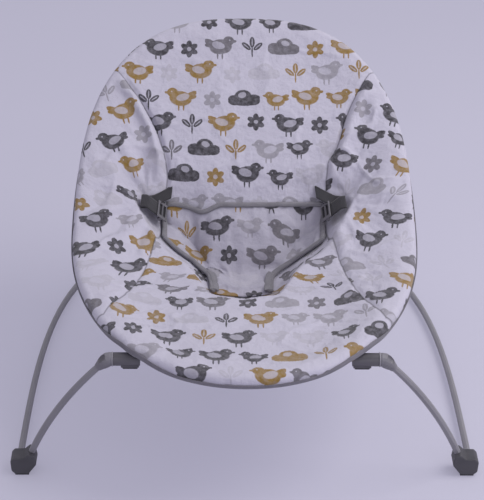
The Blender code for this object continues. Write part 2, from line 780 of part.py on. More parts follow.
def make_hub(side, label, ring, crossing):
    """The hub housing: a barrel that turns on the arm, crossed by a socket for the seat tubes."""
    inner = (side * BARREL_INNER_END, PIVOT_Y, PIVOT_HEIGHT)
    outer = (side * BARREL_OUTER_END, PIVOT_Y, PIVOT_HEIGHT)
    housing = cylinder_along(f"hub_housing_{label}", inner, outer, BARREL_RADIUS, PARTS)

    ceiling = PIVOT_HEIGHT - WIRE_HOLE_RADIUS - BUTTON_CEILING_WEB
    spring_room = BUTTON_TRAVEL + 2 * CLEARANCE + SPRING_THICKNESS
    button_top = ceiling - spring_room
    button_bottom = button_top - BUTTON_SIZE[2]
    boss_bottom = button_bottom + BUTTON_STAND_OUT
    boss_size = (
        BUTTON_SIZE[0] + 2 * BUTTON_BOSS_WALL,
        BUTTON_SIZE[1] + 2 * BUTTON_BOSS_WALL,
        PIVOT_HEIGHT - boss_bottom,
    )
    boss_centre = (side * BUTTON_PLACE, PIVOT_Y, (PIVOT_HEIGHT + boss_bottom) / 2)
    boss = box_at(f"button_boss_{label}", boss_centre, boss_size, GUIDES)
    round_edges(boss, BUTTON_BOSS_WALL / 2)
    join(housing, boss)
    socket_points = stretch(ring, crossing - SOCKET_HALF_LENGTH, crossing + SOCKET_HALF_LENGTH)
    join(housing, tube_solid(f"ring_socket_{label}", socket_points, SOCKET_RADIUS, GUIDES, sides=6))

    overrun = SOCKET_RADIUS / 2
    for way in (-1, 1):
        ends = sorted((crossing + way * BOW_END_PLACE, crossing + way * (SOCKET_HALF_LENGTH + overrun)))
        hole = tube_solid(f"ring_hole_{way}_{label}", stretch(ring, *ends), RING_TUBE_HOLE, GUIDES)
        cut(housing, hole)
    bore_end = (side * (BARREL_INNER_END + BARREL_END_WALL), PIVOT_Y, PIVOT_HEIGHT)
    bore_mouth = (side * (BARREL_OUTER_END + overrun), PIVOT_Y, PIVOT_HEIGHT)
    cut(housing, cylinder_along(f"pivot_bore_{label}", bore_end, bore_mouth, WIRE_HOLE_RADIUS, GUIDES))

    ledge_bottom = button_top - BUTTON_LEDGE_HEIGHT
    middle = Vector((side * BUTTON_PLACE, PIVOT_Y, 0.0))
    ledge = 2 * BUTTON_LEDGE
    rooms = (
        ("mouth", 0.0, boss_bottom - overrun, ledge_bottom),
        ("pocket", ledge, ledge_bottom - CLEARANCE, ceiling),
    )
    for room, extra, low, high in rooms:
        size = (BUTTON_SIZE[0] + extra + 2 * CLEARANCE, BUTTON_SIZE[1] + extra + 2 * CLEARANCE, high - low)
        place = middle + Vector((0.0, 0.0, (high + low) / 2))
        cut(housing, box_at(f"button_{room}_{label}", place, size, GUIDES))

    button_centre = middle + Vector((0.0, 0.0, (button_top + button_bottom) / 2))
    button = box_at(f"lock_button_{label}", button_centre, BUTTON_SIZE, PARTS)
    round_edges(button, BUTTON_SIZE[2] * 0.2)
    ledge_size = (BUTTON_SIZE[0] + ledge, BUTTON_SIZE[1] + ledge, BUTTON_LEDGE_HEIGHT)
    ledge_centre = middle + Vector((0.0, 0.0, (button_top + ledge_bottom) / 2))
    join(button, box_at(f"button_ledge_{label}", ledge_centre, ledge_size, GUIDES))
    finish_object(button, BUTTON_NYLON)
    make_button_spring(side, label, button_top, ceiling)
    screw_top = Vector((side * GROOVE_PLACE, PIVOT_Y, PIVOT_HEIGHT - BARREL_RADIUS))
    screw_length = BARREL_RADIUS - SCREW_HEAD_HEIGHT - WIRE_RADIUS + GROOVE_DEPTH - CLEARANCE
    upwards = Vector((0.0, 0.0, 1.0))
    radii = (SCREW_HEAD_RADIUS, SCREW_RADIUS)
    fit_screw(f"pivot_screw_{label}", screw_top, upwards, *radii, screw_length, (housing,))
    finish_object(housing, HUB_NYLON)
    make_washer(side, label)
    return housing


def make_button_spring(side, label, low, high):
    """A bowed leaf between the button and the pocket's ceiling."""
    count = 9
    share = np.linspace(-1.0, 1.0, count)
    rise = (high - low - 2 * CLEARANCE - SPRING_THICKNESS) * (1 - share ** 2)
    x = side * BUTTON_PLACE + share * SPRING_LENGTH / 2
    z = low + CLEARANCE + rise
    rows = [np.column_stack([x, np.full(count, PIVOT_Y + edge * SPRING_WIDTH / 2), z]) for edge in (-1, 1)]
    sheet_from_grid(f"lock_spring_{label}", np.array(rows), SPRING_THICKNESS, ZINC)


def make_washer(side, label):
    """The pale collar between the barrel and the elbow."""
    near = BARREL_OUTER_END + CLEARANCE
    far = near + WASHER_THICKNESS
    start = (side * near, PIVOT_Y, PIVOT_HEIGHT)
    end = (side * far, PIVOT_Y, PIVOT_HEIGHT)
    washer = cylinder_along(f"hub_washer_{label}", start, end, WASHER_RADIUS, PARTS)
    beyond = (side * (near - WASHER_THICKNESS), PIVOT_Y, PIVOT_HEIGHT)
    past = (side * (far + WASHER_THICKNESS), PIVOT_Y, PIVOT_HEIGHT)
    hole = WIRE_HOLE_RADIUS + CLEARANCE
    cut(washer, cylinder_along(f"washer_hole_{label}", beyond, past, hole, GUIDES))
    finish_object(washer, TRIM_NYLON)


def make_socket_screws(side, label, housing, bows, ring, crossing):
    """A screw from below fixes the end of each seat bow in the hub's socket."""
    along = lengths_along(ring)
    upwards = Vector((0.0, 0.0, 1.0))
    for way, bow in zip((-side, side), bows):
        place = crossing + way * SOCKET_SCREW_OFFSET
        centre = Vector([np.interp(place, along, ring[:, axis]) for axis in range(3)])
        depth = SOCKET_RADIUS - SOCKET_SCREW_SINK
        top = centre - upwards * depth
        length = depth - RING_TUBE_RADIUS - SCREW_HEAD_HEIGHT + SOCKET_SCREW_BITE
        name = bow.name.replace("seat_bow", "socket_screw")
        fit_screw(f"{name}_{label}", top, upwards, SCREW_HEAD_RADIUS, SCREW_RADIUS, length, (housing, bow))


def make_bows(ring, start, end):
    """The seat ring's two tubes, which meet inside the hubs."""
    gap = BOW_END_PLACE + CLEARANCE
    total = lengths_along(ring)[-1]
    doubled = np.vstack([ring, ring[1:]])
    front_path = stretch(doubled, end + gap, total + start - gap)
    front = tube_solid("seat_bow_front", front_path, RING_TUBE_RADIUS, PARTS)
    back = tube_solid("seat_bow_back", stretch(ring, start + gap, end - gap), RING_TUBE_RADIUS, PARTS)
    for bow in (front, back):
        finish_object(bow, POWDER_COAT)
        smooth(bow)
    return front, back


def binding_path(ring, s, start, end):
    """The edge tape runs outside the hem and a little below it, and rises to pass over the hubs."""
    along = lengths_along(ring)
    away = np.minimum(np.abs(along - start), np.abs(along - end))
    turned = np.clip((away - BINDING_HUB_LENGTH) / BINDING_TURN_LENGTH, 0.0, 1.0)
    drop = BINDING_HUB_ANGLE + (BINDING_DROP_ANGLE - BINDING_HUB_ANGLE) * turned
    slope = blend_slope(s)
    off = np.column_stack([np.zeros(len(s)), -np.sin(slope), np.cos(slope)])
    tangent = np.gradient(ring, axis=0)
    tangent[0] = tangent[-1] = ring[1] - ring[-2]
    outward = np.cross(tangent, off)
    outward /= np.linalg.norm(outward, axis=1)[:, None]
    reach = HEM_RADIUS + BINDING_RADIUS + CLEARANCE
    return ring + reach * (outward * np.cos(drop)[:, None] - off * np.sin(drop)[:, None])


def make_cover_edges(ring, ring_s, start, end):
    """The hem sleeve round the whole ring, let in for the hubs, and the tape along it."""
    hem = curve_to_mesh(closed_tube("cover_hem", ring, HEM_RADIUS, PARTS, sides=3))
    wall = hem.modifiers.new("wall", "SOLIDIFY")
    wall.thickness = HEM_RADIUS - RING_TUBE_HOLE
    wall.offset = -1.0
    room = SOCKET_HALF_LENGTH + CLEARANCE
    for side, crossing in ((1, start), (-1, end)):
        socket_room = stretch(ring, crossing - room, crossing + room)
        room_radius = SOCKET_RADIUS + CLEARANCE
        cut(hem, tube_solid(f"hem_socket_room_{side}", socket_room, room_radius, GUIDES, sides=6))
        inner = (side * (BARREL_INNER_END - CLEARANCE), PIVOT_Y, PIVOT_HEIGHT)
        outer = (side * BARREL_OUTER_END, PIVOT_Y, PIVOT_HEIGHT)
        cut(hem, cylinder_along(f"hem_barrel_room_{side}", inner, outer, BARREL_RADIUS + CLEARANCE, GUIDES))
    finish_object(hem, COTTON)
    tape = binding_path(ring, ring_s, start, end)
    finish_object(closed_tube("edge_binding", tape, BINDING_RADIUS, PARTS, sides=1), BINDING)


def make_sling():
    """The seat itself: a bucket of printed fabric hung inside the ring, creased at its seams."""
    a = np.linspace(-1.0, 1.0, SLING_COLUMNS + 1)
    b = np.linspace(-1.0, 1.0, SLING_ROWS + 1)
    a, b = np.meshgrid(a, b)
    x = a * np.sqrt(1 - b ** 2 / 2)
    s = b * np.sqrt(1 - a ** 2 / 2)
    reach = np.hypot(x, s)
    angle = np.arctan2(s, x)
    cosine = np.abs(np.cos(angle))
    sine = np.abs(np.sin(angle))
    power = np.where(s > 0, RING_BACK_POWER, RING_FRONT_POWER)
    length = np.where(s > 0, RING_BACK_LENGTH, RING_FRONT_LENGTH) - SLING_INSET
    width = RING_HALF_WIDTH - SLING_INSET
    radius = (cosine ** power + sine ** power) ** (-1 / power)
    x = width * reach * radius * np.cos(angle)
    s = length * reach * radius * np.sin(angle)
    diagonals = ((1, "FIXED"), (-1, "ALTERNATE"))
    sling = sheet_from_grid("seat_sling", sling_point(x, s), SLING_THICKNESS, COTTON, diagonals)
    bpy.context.view_layer.update()
    return BVHTree.FromObject(sling, bpy.context.evaluated_depsgraph_get())


def make_panel(fabric):
    """The waist and crotch panel that closes over the sitter."""
    shares = np.linspace(-1.0, 1.0, PANEL_COLUMNS + 1)
    rows = []
    for s, half in PANEL_EDGE:
        rows.append([list(on_fabric(fabric, share * half, s, PANEL_LIFT)) for share in shares])
    sheet_from_grid("waist_panel", np.array(rows), PANEL_THICKNESS, COTTON)


def make_strap(side, label, fabric):
    """Flat webbing from the side seam, folded back over itself to the waist panel."""
    near = PANEL_EDGE[-2][1] + STRAP_START_GAP
    fold_x, fold_s = STRAP_FOLD
    anchor_x, anchor_s = STRAP_ANCHOR
    low = STRAP_LIFT + STRAP_THICKNESS
    high = low + STRAP_RETURN_LIFT
    route = (
        (anchor_x, anchor_s, STRAP_THICKNESS + STRAP_SEWN_LIFT),
        ((anchor_x + fold_x) / 2, (anchor_s + fold_s) / 2, low),
        (fold_x - STRAP_FOLD_DEPTH, fold_s, low),
        (fold_x, (fold_s + STRAP_LEVEL) / 2, (low + high) / 2),
        (fold_x - STRAP_FOLD_DEPTH, STRAP_LEVEL, high),
        (near, STRAP_LEVEL, high),
    )
    centre = [on_fabric(fabric, side * x, s, lift) for x, s, lift in route]
    run = (centre[-2] - centre[-1]).normalized()
    up = Vector(sling_point(side * near, STRAP_LEVEL + SLING_PROBE) - sling_point(side * near, STRAP_LEVEL))
    along = (up - run * up.dot(run)).normalized()
    edges = []
    for way in (side, -side):
        reach = way * STRAP_WIDTH / 2
        laid = [list(on_fabric(fabric, side * x, s + reach, lift)) for x, s, lift in route[:-2]]
        edges.append(laid + [list(point + along * way * STRAP_WIDTH / 2) for point in centre[-2:]])
    sheet_from_grid(f"webbing_{label}", np.array(edges), STRAP_THICKNESS, WEBBING)
    off = run.cross(along) * side
    return centre[-1], run, along, off


def make_slider(side, label, near, run, along, off):
    """A ladder buckle: the strap shows in its two windows and lies over the bar under its middle."""
    axes = (run, along, off)
    centre = near + run * (SLIDER_LENGTH / 2 + CLEARANCE)
    plate_middle = STRAP_THICKNESS + STRAP_PLAY + SLIDER_THICKNESS / 2
    bridge_middle = -STRAP_PLAY - SLIDER_BRIDGE / 2
    window = STRAP_WIDTH + 2 * STRAP_PLAY
    height = window + 2 * SLIDER_BAR
    plate = box_at(
        f"strap_slider_{label}",
        centre + off * plate_middle,
        (SLIDER_LENGTH, height, SLIDER_THICKNESS),
        PARTS,
        axes,
    )
    round_edges(plate, SLIDER_THICKNESS * 0.2, segments=1)
    opening = ((SLIDER_LENGTH - 3 * SLIDER_BAR) / 2, window - 2 * SLIDER_BAR, 2 * SLIDER_THICKNESS)
    for way in (-1, 1):
        place = centre + off * plate_middle + run * way * (opening[0] + SLIDER_BAR) / 2
        cut(plate, box_at(f"slider_window_{way}_{label}", place, opening, GUIDES, axes))
    top = plate_middle
    bottom = bridge_middle - SLIDER_BRIDGE / 2
    post_size = (SLIDER_BRIDGE_WIDTH, SLIDER_BAR, top - bottom)
    for way in (-1, 1):
        post_centre = centre + along * way * (height - SLIDER_BAR) / 2 + off * (top + bottom) / 2
        join(plate, box_at(f"slider_post_{way}_{label}", post_centre, post_size, GUIDES, axes))
    bridge_size = (SLIDER_BRIDGE_WIDTH, height, SLIDER_BRIDGE)
    join(plate, box_at(f"slider_bridge_{label}", centre + off * bridge_middle, bridge_size, GUIDES, axes))
    finish_object(plate, TRIM_NYLON)
    return plate


def hold(name, location, starts, parent=None):
    """Put the pieces whose names start in a given way on an axis marker, without moving them."""
    marker = bpy.data.objects.new(name, None)
    GUIDES.objects.link(guide(marker))
    marker.location = location
    bpy.context.view_layer.update()
    children = [item for item in PARTS.objects if item.name.startswith(starts)]
    if parent is not None:
        marker.parent = parent
        marker.matrix_parent_inverse = parent.matrix_world.inverted()
    for child in children:
        child.parent = marker
        child.matrix_parent_inverse = marker.matrix_world.inverted()
    return marker


def centre_on_floor():
    """Move everything so that the whole part stands over the origin."""
    bpy.context.view_layer.update()
    depsgraph = bpy.context.evaluated_depsgraph_get()
    corners = []
    for item in PARTS.objects:
        evaluated = item.evaluated_get(depsgraph)
        mesh = evaluated.to_mesh()
        flat = np.empty(len(mesh.vertices) * 3)
        mesh.vertices.foreach_get("co", flat)
        world = np.array(evaluated.matrix_world)
        points = flat.reshape(-1, 3) @ world[:3, :3].T + world[:3, 3]
        corners.append(points.min(0))
        corners.append(points.max(0))
        evaluated.to_mesh_clear()
    low = np.min(corners, 0)
    high = np.max(corners, 0)
    shift = Vector((-(low[0] + high[0]) / 2, -(low[1] + high[1]) / 2, -low[2]))
    for item in list(PARTS.objects) + list(GUIDES.objects):
        if item.parent is None:
            item.matrix_world = Matrix.Translation(shift) @ item.matrix_world
    bpy.context.view_layer.update()


def main():
    base = base_path()
    make_base(base)
    ring, ring_s = ring_path()
    along = lengths_along(ring)
    half = len(ring) // 2
    start = float(np.interp(HUB_CROSSING_X, ring[:half // 2, 0], along[:half // 2]))
    end = along[-1] - start
    bows = make_bows(ring, start, end)
    make_cover_edges(ring, ring_s, start, end)
    fabric = make_sling()
    make_panel(fabric)

    rail_reach = RAIL_SOCKET_DEPTH + WIRE_RADIUS
    total = lengths_along(base)[-1]
    for side, label, crossing in ((1, "left", start), (-1, "right", end)):
        rail_end = stretch(base, 0.0, rail_reach) if side > 0 else stretch(base, total - rail_reach, total)
        overshoot = Vector((0.0, -CLEARANCE * 2, 0.0))
        if side > 0:
            rail_end[0] += overshoot
        else:
            rail_end[-1] += overshoot
        arm = arm_path(side)
        arm_foot = stretch(arm, 0.0, FOOT_OUTLINE[6][1] + WIRE_RADIUS)
        arm_foot[0] += (arm_foot[0] - arm_foot[1]) / np.linalg.norm(arm_foot[0] - arm_foot[1]) * CLEARANCE * 2
        make_foot(side, label, rail_end, arm_foot)
        make_arm(side, label, arm)
        make_elbow(side, label, arm)
        housing = make_hub(side, label, ring, crossing)
        make_socket_screws(side, label, housing, bows, ring, crossing)
        make_slider(side, label, *make_strap(side, label, fabric))

    bounce = hold("bounce_axis", (0.0, 0.0, BOUNCE_HEIGHT), ("spring_arm", "hub_elbow"))
    seat_names = (
        "seat_",
        "cover_",
        "edge_",
        "waist_",
        "webbing_",
        "strap_",
        "hub_housing",
        "hub_washer",
        "socket_",
        "pivot_",
        "lock_",
    )
    hold("fold_axis", (0.0, PIVOT_Y, PIVOT_HEIGHT), seat_names, bounce)
    centre_on_floor()


main()
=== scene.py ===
import math

import bpy
import numpy as np
from mathutils import Matrix, Vector
from mathutils.bvhtree import BVHTree


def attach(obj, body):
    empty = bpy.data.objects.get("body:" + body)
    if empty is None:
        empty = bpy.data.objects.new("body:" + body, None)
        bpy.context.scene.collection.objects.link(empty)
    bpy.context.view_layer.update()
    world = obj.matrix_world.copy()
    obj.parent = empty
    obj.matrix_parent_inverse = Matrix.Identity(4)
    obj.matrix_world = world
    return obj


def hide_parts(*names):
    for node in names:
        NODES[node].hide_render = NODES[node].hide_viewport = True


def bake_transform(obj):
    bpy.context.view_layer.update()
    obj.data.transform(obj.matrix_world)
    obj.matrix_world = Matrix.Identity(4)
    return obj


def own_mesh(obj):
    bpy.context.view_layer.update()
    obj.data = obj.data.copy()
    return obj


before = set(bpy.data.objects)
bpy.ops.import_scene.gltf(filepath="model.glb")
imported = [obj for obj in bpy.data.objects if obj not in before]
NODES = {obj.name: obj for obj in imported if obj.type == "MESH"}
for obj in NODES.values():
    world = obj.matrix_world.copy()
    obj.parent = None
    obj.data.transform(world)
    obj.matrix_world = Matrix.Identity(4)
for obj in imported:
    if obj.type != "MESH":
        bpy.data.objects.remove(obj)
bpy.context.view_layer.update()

# Seat ring, in metres, as in the part's source.
PIVOT_HEIGHT = 0.1630
PIVOT_SETBACK = 0.022
SOCKET_RISE = 0.0118
RING_HALF_WIDTH = 0.2015
RING_BACK_LENGTH = 0.2975
RING_FRONT_LENGTH = 0.309
RING_BACK_POWER = 2.64
RING_FRONT_POWER = 2.09
RING_BACK_SLOPE = math.radians(38.0)
RING_FRONT_SLOPE = math.radians(4.5)
RING_BEND_HALF_LENGTH = 0.120
HUB_CROSSING_X = 0.123
FOOT_Y = -0.250220
HEM_RADIUS = 0.0074
SLING_INSET = HEM_RADIUS + 0.0008
SLING_THICKNESS = 0.003
# Along the seat, by share of the ring's length: how deep the lap and the pocket hang, and how far in
# from the edge their fabric bends level, as a share of the half width.
LAP_DEPTHS = (
    (-1.00, 0.0000), (-0.90, 0.0042), (-0.75, 0.0092), (-0.60, 0.0136), (-0.50, 0.0176), (-0.42, 0.0212),
    (-0.30, 0.0240), (0.00, 0.0245), (0.16, 0.0235), (0.36, 0.0180), (0.53, 0.0100), (0.70, 0.0052),
    (1.00, 0.0000),
)
LAP_SEAMS = (
    (-1.00, 0.80), (-0.60, 0.74), (-0.42, 0.62), (-0.20, 0.56), (0.05, 0.50), (0.20, 0.46), (0.36, 0.50),
    (0.53, 0.63), (0.75, 0.80), (1.00, 0.80),
)
POCKET_DEPTHS = (
    (-1.00, 0.0000), (-0.40, 0.0000), (-0.36, 0.0040), (-0.31, 0.0180), (-0.25, 0.0360), (-0.18, 0.0500),
    (-0.10, 0.0595), (-0.03, 0.0605), (0.06, 0.0420), (0.16, 0.0215), (0.36, 0.0000), (1.00, 0.0000),
)
POCKET_SEAMS = ((-1.00, 0.32), (-0.14, 0.32), (0.05, 0.38), (0.20, 0.44), (1.00, 0.50))
# The pocket's front lip bends back toward the hubs: half widths with the lip's place along the seat.
POCKET_LIP = (
    (0.000, -0.110), (0.037, -0.100), (0.068, -0.046), (0.096, -0.022), (0.119, 0.010), (0.136, 0.044),
    (0.155, 0.064), (0.200, 0.070),
)
POCKET_LIP_END = 0.100
POCKET_HALF_WIDTH = 0.162
BEND_SHARPNESS = 6.0
RIM_SOFTNESS = 0.12

# The cover's grid, its fabric, how it leaves the tube and how far the lap's print is drawn out.
COVER_COLUMNS = 168
COVER_ROWS = 220
COVER_THICKNESS = 0.0010
WRAP_RADIUS = HEM_RADIUS + 0.0005
RIM_BLEND = 0.040
CALM_RIM = 0.022
# Where the straps fold over: side, and place on the sheet.
PULLS = ((-1, 0.120, 0.050), (1, 0.122, 0.044))
LAP_DRAW = 0.76
# The sewn seams between the middle piece and the wings: place along the seat and half width.
SEAM_LEFT = (
    (-0.195, 0.164), (-0.165, 0.155), (-0.125, 0.140), (-0.052, 0.118), (0.000, 0.108), (0.040, 0.100),
    (0.091, 0.097), (0.132, 0.106), (0.176, 0.126), (0.201, 0.143), (0.240, 0.176),
)
SEAM_RIGHT = (
    (-0.195, 0.160), (-0.165, 0.149), (-0.128, 0.137), (-0.078, 0.123), (-0.020, 0.112), (0.040, 0.102),
    (0.099, 0.106), (0.125, 0.119), (0.166, 0.131), (0.205, 0.150), (0.240, 0.176),
)


def hex_colour(text):
    """sRGB hex to the linear colour that a shader takes."""
    parts = [int(text[at:at + 2], 16) / 255 for at in (0, 2, 4)]
    linear = [part / 12.92 if part <= 0.04045 else ((part + 0.055) / 1.055) ** 2.4 for part in parts]
    return (*linear, 1.0)


# A Mix node of two colours. Sockets that share a name go by number: a Mix node's share is 0, its two
# numbers are 2 and 3, its vectors 4 and 5, its colours 6 and 7, and a VectorMath node's scale is 3.
COLOURS = {"out": 2, "data_type": "RGBA"}


def add(tree, kind, inputs=(), out=0, **settings):
    """Adds a node with its settings and links, and gives back one of its outputs. Inputs in a row go to
    the first sockets: a MapRange takes its value, the range it comes from and the range it goes to."""
    item = tree.nodes.new("ShaderNode" + kind)
    for name, value in settings.items():
        setattr(item, name, value)
    pairs = inputs.items() if isinstance(inputs, dict) else enumerate(inputs)
    for place, value in pairs:
        if isinstance(value, bpy.types.NodeSocket):
            tree.links.new(value, item.inputs[place])
        elif value is not None:
            item.inputs[place].default_value = value
    return item.outputs[out] if len(item.outputs) else item


def new_material(name):
    material = bpy.data.materials.new(name)
    material.use_nodes = True
    material.node_tree.nodes.clear()
    return material, material.node_tree


def finish(tree, inputs):
    add(tree, "OutputMaterial", (add(tree, "BsdfPrincipled", inputs),))


def clamp(value):
    return np.clip(value, 0.0, 1.0)


def ease(value):
    """From 0 to 1 with a soft start and end."""
    value = clamp(value)
    return value * value * (3 - 2 * value)


def bell(place, centre, width):
    return np.exp(-((place - centre) / width) ** 2)


def unit(vectors):
    return vectors / np.linalg.norm(vectors, axis=-1)[..., None]


def smooth_table(table, place):
    """A smooth curve through a table's points that doesn't swing past them."""
    keys = np.array(table)
    x = keys[:, 0]
    y = keys[:, 1]
    slope = np.diff(y) / np.diff(x)
    tangent = np.zeros(len(x))
    same = slope[1:] * slope[:-1] > 0
    mean = 2 * slope[1:] * slope[:-1] / np.where(same, slope[1:] + slope[:-1], 1.0)
    tangent[1:-1] = np.where(same, mean, 0.0)
    tangent[0] = slope[0]
    tangent[-1] = slope[-1]
    place = np.clip(place, x[0], x[-1])
    cell = np.clip(np.searchsorted(x, place, side="right") - 1, 0, len(x) - 2)
    width = x[cell + 1] - x[cell]
    t = (place - x[cell]) / width
    rise = (2 * t ** 3 - 3 * t ** 2 + 1) * y[cell] + (-2 * t ** 3 + 3 * t ** 2) * y[cell + 1]
    lean = (t ** 3 - 2 * t ** 2 + t) * tangent[cell] + (t ** 3 - t ** 2) * tangent[cell + 1]
    return rise + width * lean


def blend_slope(s):
    share = ease((s + RING_BEND_HALF_LENGTH) / (2 * RING_BEND_HALF_LENGTH))
    return RING_FRONT_SLOPE + (RING_BACK_SLOPE - RING_FRONT_SLOPE) * share


def side_profile():
    """The ring seen from the side: a flat front, a bend and a steeper back, through the hubs' sockets."""
    s = np.linspace(-RING_FRONT_LENGTH, RING_BACK_LENGTH, 1201)
    slope = blend_slope(s)
    step = np.diff(s)
    y = np.concatenate([[0.0], np.cumsum(step * (np.cos(slope[1:]) + np.cos(slope[:-1])) / 2)])
    z = np.concatenate([[0.0], np.cumsum(step * (np.sin(slope[1:]) + np.sin(slope[:-1])) / 2)])
    share = 1 - (HUB_CROSSING_X / RING_HALF_WIDTH) ** RING_FRONT_POWER
    crossing = -RING_FRONT_LENGTH * share ** (1 / RING_FRONT_POWER)
    y += FOOT_Y - PIVOT_SETBACK - np.interp(crossing, s, y)
    z += PIVOT_HEIGHT + SOCKET_RISE - np.interp(crossing, s, z)
    return s, y, z


PROFILE_S, PROFILE_Y, PROFILE_Z = side_profile()


def on_ring_sheet(x, s, drop=0.0):
    """A point on the bent sheet that holds the seat ring, dropped square to that sheet."""
    slope = blend_slope(s)
    y = np.interp(s, PROFILE_S, PROFILE_Y) + drop * np.sin(slope)
    z = np.interp(s, PROFILE_S, PROFILE_Z) - drop * np.cos(slope)
    return np.stack(np.broadcast_arrays(x, y, z), -1)


def ring_end(s):
    """Length and roundness of the ring behind or ahead of its widest line."""
    back = s > 0
    length = np.where(back, RING_BACK_LENGTH, RING_FRONT_LENGTH)
    return length, np.where(back, RING_BACK_POWER, RING_FRONT_POWER)


def ring_width(s, inset):
    length, power = ring_end(s)
    inside = clamp(1 - np.abs(s / (length - inset)) ** power)
    return (RING_HALF_WIDTH - inset) * inside ** (1 / power)


def hang_shape(inside, bend):
    """From 0 at the edge to 1 in the middle, steep up to the bend and level after it."""
    ramp = inside ** 2 * (1 + RIM_SOFTNESS) / (inside + RIM_SOFTNESS) / (1 - bend)
    full = 1 / (1 - bend)
    shape = ramp / (1 + ramp ** BEND_SHARPNESS) ** (1 / BEND_SHARPNESS)
    whole = full / (1 + full ** BEND_SHARPNESS) ** (1 / BEND_SHARPNESS)
    return shape / whole


def share_along(s):
    return np.clip(s / (ring_end(s)[0] - SLING_INSET), -1.0, 1.0)


def sling_depth(x, s):
    """How far the fabric hangs below the ring's sheet, with the same lap, pocket and lip as the part."""
    width = np.maximum(ring_width(s, SLING_INSET), 1e-5)
    inside = clamp(1 - np.abs(x) / width)
    within = clamp(1 - np.abs(x) / np.minimum(width, POCKET_HALF_WIDTH))
    lip = smooth_table(POCKET_LIP, np.abs(x))
    stretch = (POCKET_LIP_END - POCKET_LIP[0][1]) / (POCKET_LIP_END - lip)
    behind = np.where(s < POCKET_LIP_END, POCKET_LIP_END - (POCKET_LIP_END - s) * stretch, s)
    share = share_along(s)
    lap = smooth_table(LAP_DEPTHS, share) * hang_shape(inside, smooth_table(LAP_SEAMS, share))
    pocket = smooth_table(POCKET_DEPTHS, share_along(behind))
    return lap + pocket * hang_shape(within, smooth_table(POCKET_SEAMS, share))


def sling_point(x, s):
    return on_ring_sheet(x, s, sling_depth(x, s))


def noise(x, y, seed):
    """Smooth random values from -1 to 1, one lattice cell for each unit of x and y."""
    table = np.random.default_rng(seed).uniform(-1.0, 1.0, (64, 64))
    cell_x = np.floor(x).astype(int)
    cell_y = np.floor(y).astype(int)
    t = x - cell_x
    u = y - cell_y
    t = t * t * t * (t * (t * 6 - 15) + 10)
    u = u * u * u * (u * (u * 6 - 15) + 10)
    corner = [[table[(cell_x + i) % 64, (cell_y + j) % 64] for j in (0, 1)] for i in (0, 1)]
    low = corner[0][0] * (1 - u) + corner[0][1] * u
    high = corner[1][0] * (1 - u) + corner[1][1] * u
    return low * (1 - t) + high * t


def seam_distance(x, s):
    """How far outside the sewn seam a point is: below zero on the middle piece, above on a wing."""
    left = smooth_table(SEAM_LEFT, s)
    right = smooth_table(SEAM_RIGHT, s)
    return np.abs(x) - np.where(x < 0, left, right)


def rim_distance(x, s):
    """How far inside the ring's centre line a point of the sheet is, measured towards the middle."""
    angle = np.arctan2(s, x)
    length, power = ring_end(s)
    inverse = (np.abs(np.cos(angle)) / RING_HALF_WIDTH) ** power + (np.abs(np.sin(angle)) / length) ** power
    return inverse ** (-1 / power) - np.hypot(x, s)


def creases(x, s, seed, turn, wide, long, sharp):
    """Ridges from 0 to 1 that run along one direction, as in cloth that has been folded and sat on."""
    u = (x * math.cos(turn) + s * math.sin(turn)) / wide
    v = (s * math.cos(turn) - x * math.sin(turn)) / long
    bent = u + 0.7 * noise(v * 1.3 + 5.0, u * 0.8, seed + 1)
    return clamp(1 - np.abs(noise(bent, v, seed)) * sharp) ** 2


def cover_folds(x, s):
    """How far the cloth stands up in its folds, in metres, calming down towards the rim."""
    d = seam_distance(x, s)
    # A groove along each sewn seam with a roll beside it, both deepest behind the straps.
    deep = bell(s, 0.145, 0.060) * np.where(x < 0, 1.0, 0.55)
    groove = -(0.0017 + 0.0072 * deep) * bell(d, 0.0, 0.0034)
    ridge = (0.0009 + 0.0078 * deep) * bell(d, 0.0090, 0.0072)
    lift = groove + ridge
    # Pulls that fan out from where each strap folds over.
    for side, fold_x, fold_s in PULLS:
        dx = x * side - fold_x
        ds = s - fold_s
        r = np.hypot(dx, ds)
        turn = np.arctan2(ds, dx)
        pull = noise(turn * 3.4 + 9.0, r * 16.0, 11 + side)
        pull = pull + 0.5 * noise(turn * 7.0 + 2.0, r * 24.0, 14 + side)
        near = bell(r, 0.045, 0.038) * clamp(d / 0.012 + 0.6)
        lift = lift + 0.0038 * pull * near * (x * side > 0)
    # Creases: slanting on the wings, steeper beside the lap, across the waist, and long ones all over.
    wing = clamp(d / 0.010)
    lap = clamp((-0.02 - s) / 0.05)
    waist = bell(s, 0.085, 0.035) * (1 - wing)
    for side, seed in ((-1, 51), (1, 61)):
        here = x * side > 0
        lift = lift + 0.0038 * creases(x, s, seed, side * 0.55, 0.026, 0.080, 3.0) * wing * (1 - lap) * here
        beside = lap * bell(np.abs(x), 0.095, 0.050)
        lift = lift + 0.0028 * creases(x, s, seed + 4, side * 1.05, 0.024, 0.065, 3.0) * beside * here
    lift = lift + 0.0015 * creases(x, s, 71, 0.15, 0.034, 0.030, 2.2) * waist
    lift = lift + 0.0013 * creases(x, s, 75, 1.30, 0.036, 0.060, 3.0)
    broad = noise(x * 24.0, s * 19.0, 5) * 0.65 + noise(x * 52.0 + 4.0, s * 38.0, 6) * 0.35
    lift = lift + 0.0013 * broad
    # The straps press the cloth down.
    under_strap = np.exp(-((np.abs(x) - 0.113) / 0.024) ** 2 - ((s - 0.056) / 0.022) ** 2)
    lift = np.where(lift > 0, lift * (1 - np.minimum(1.7 * under_strap, 1.0)), lift)
    return lift * ease(rim_distance(x, s) / CALM_RIM)


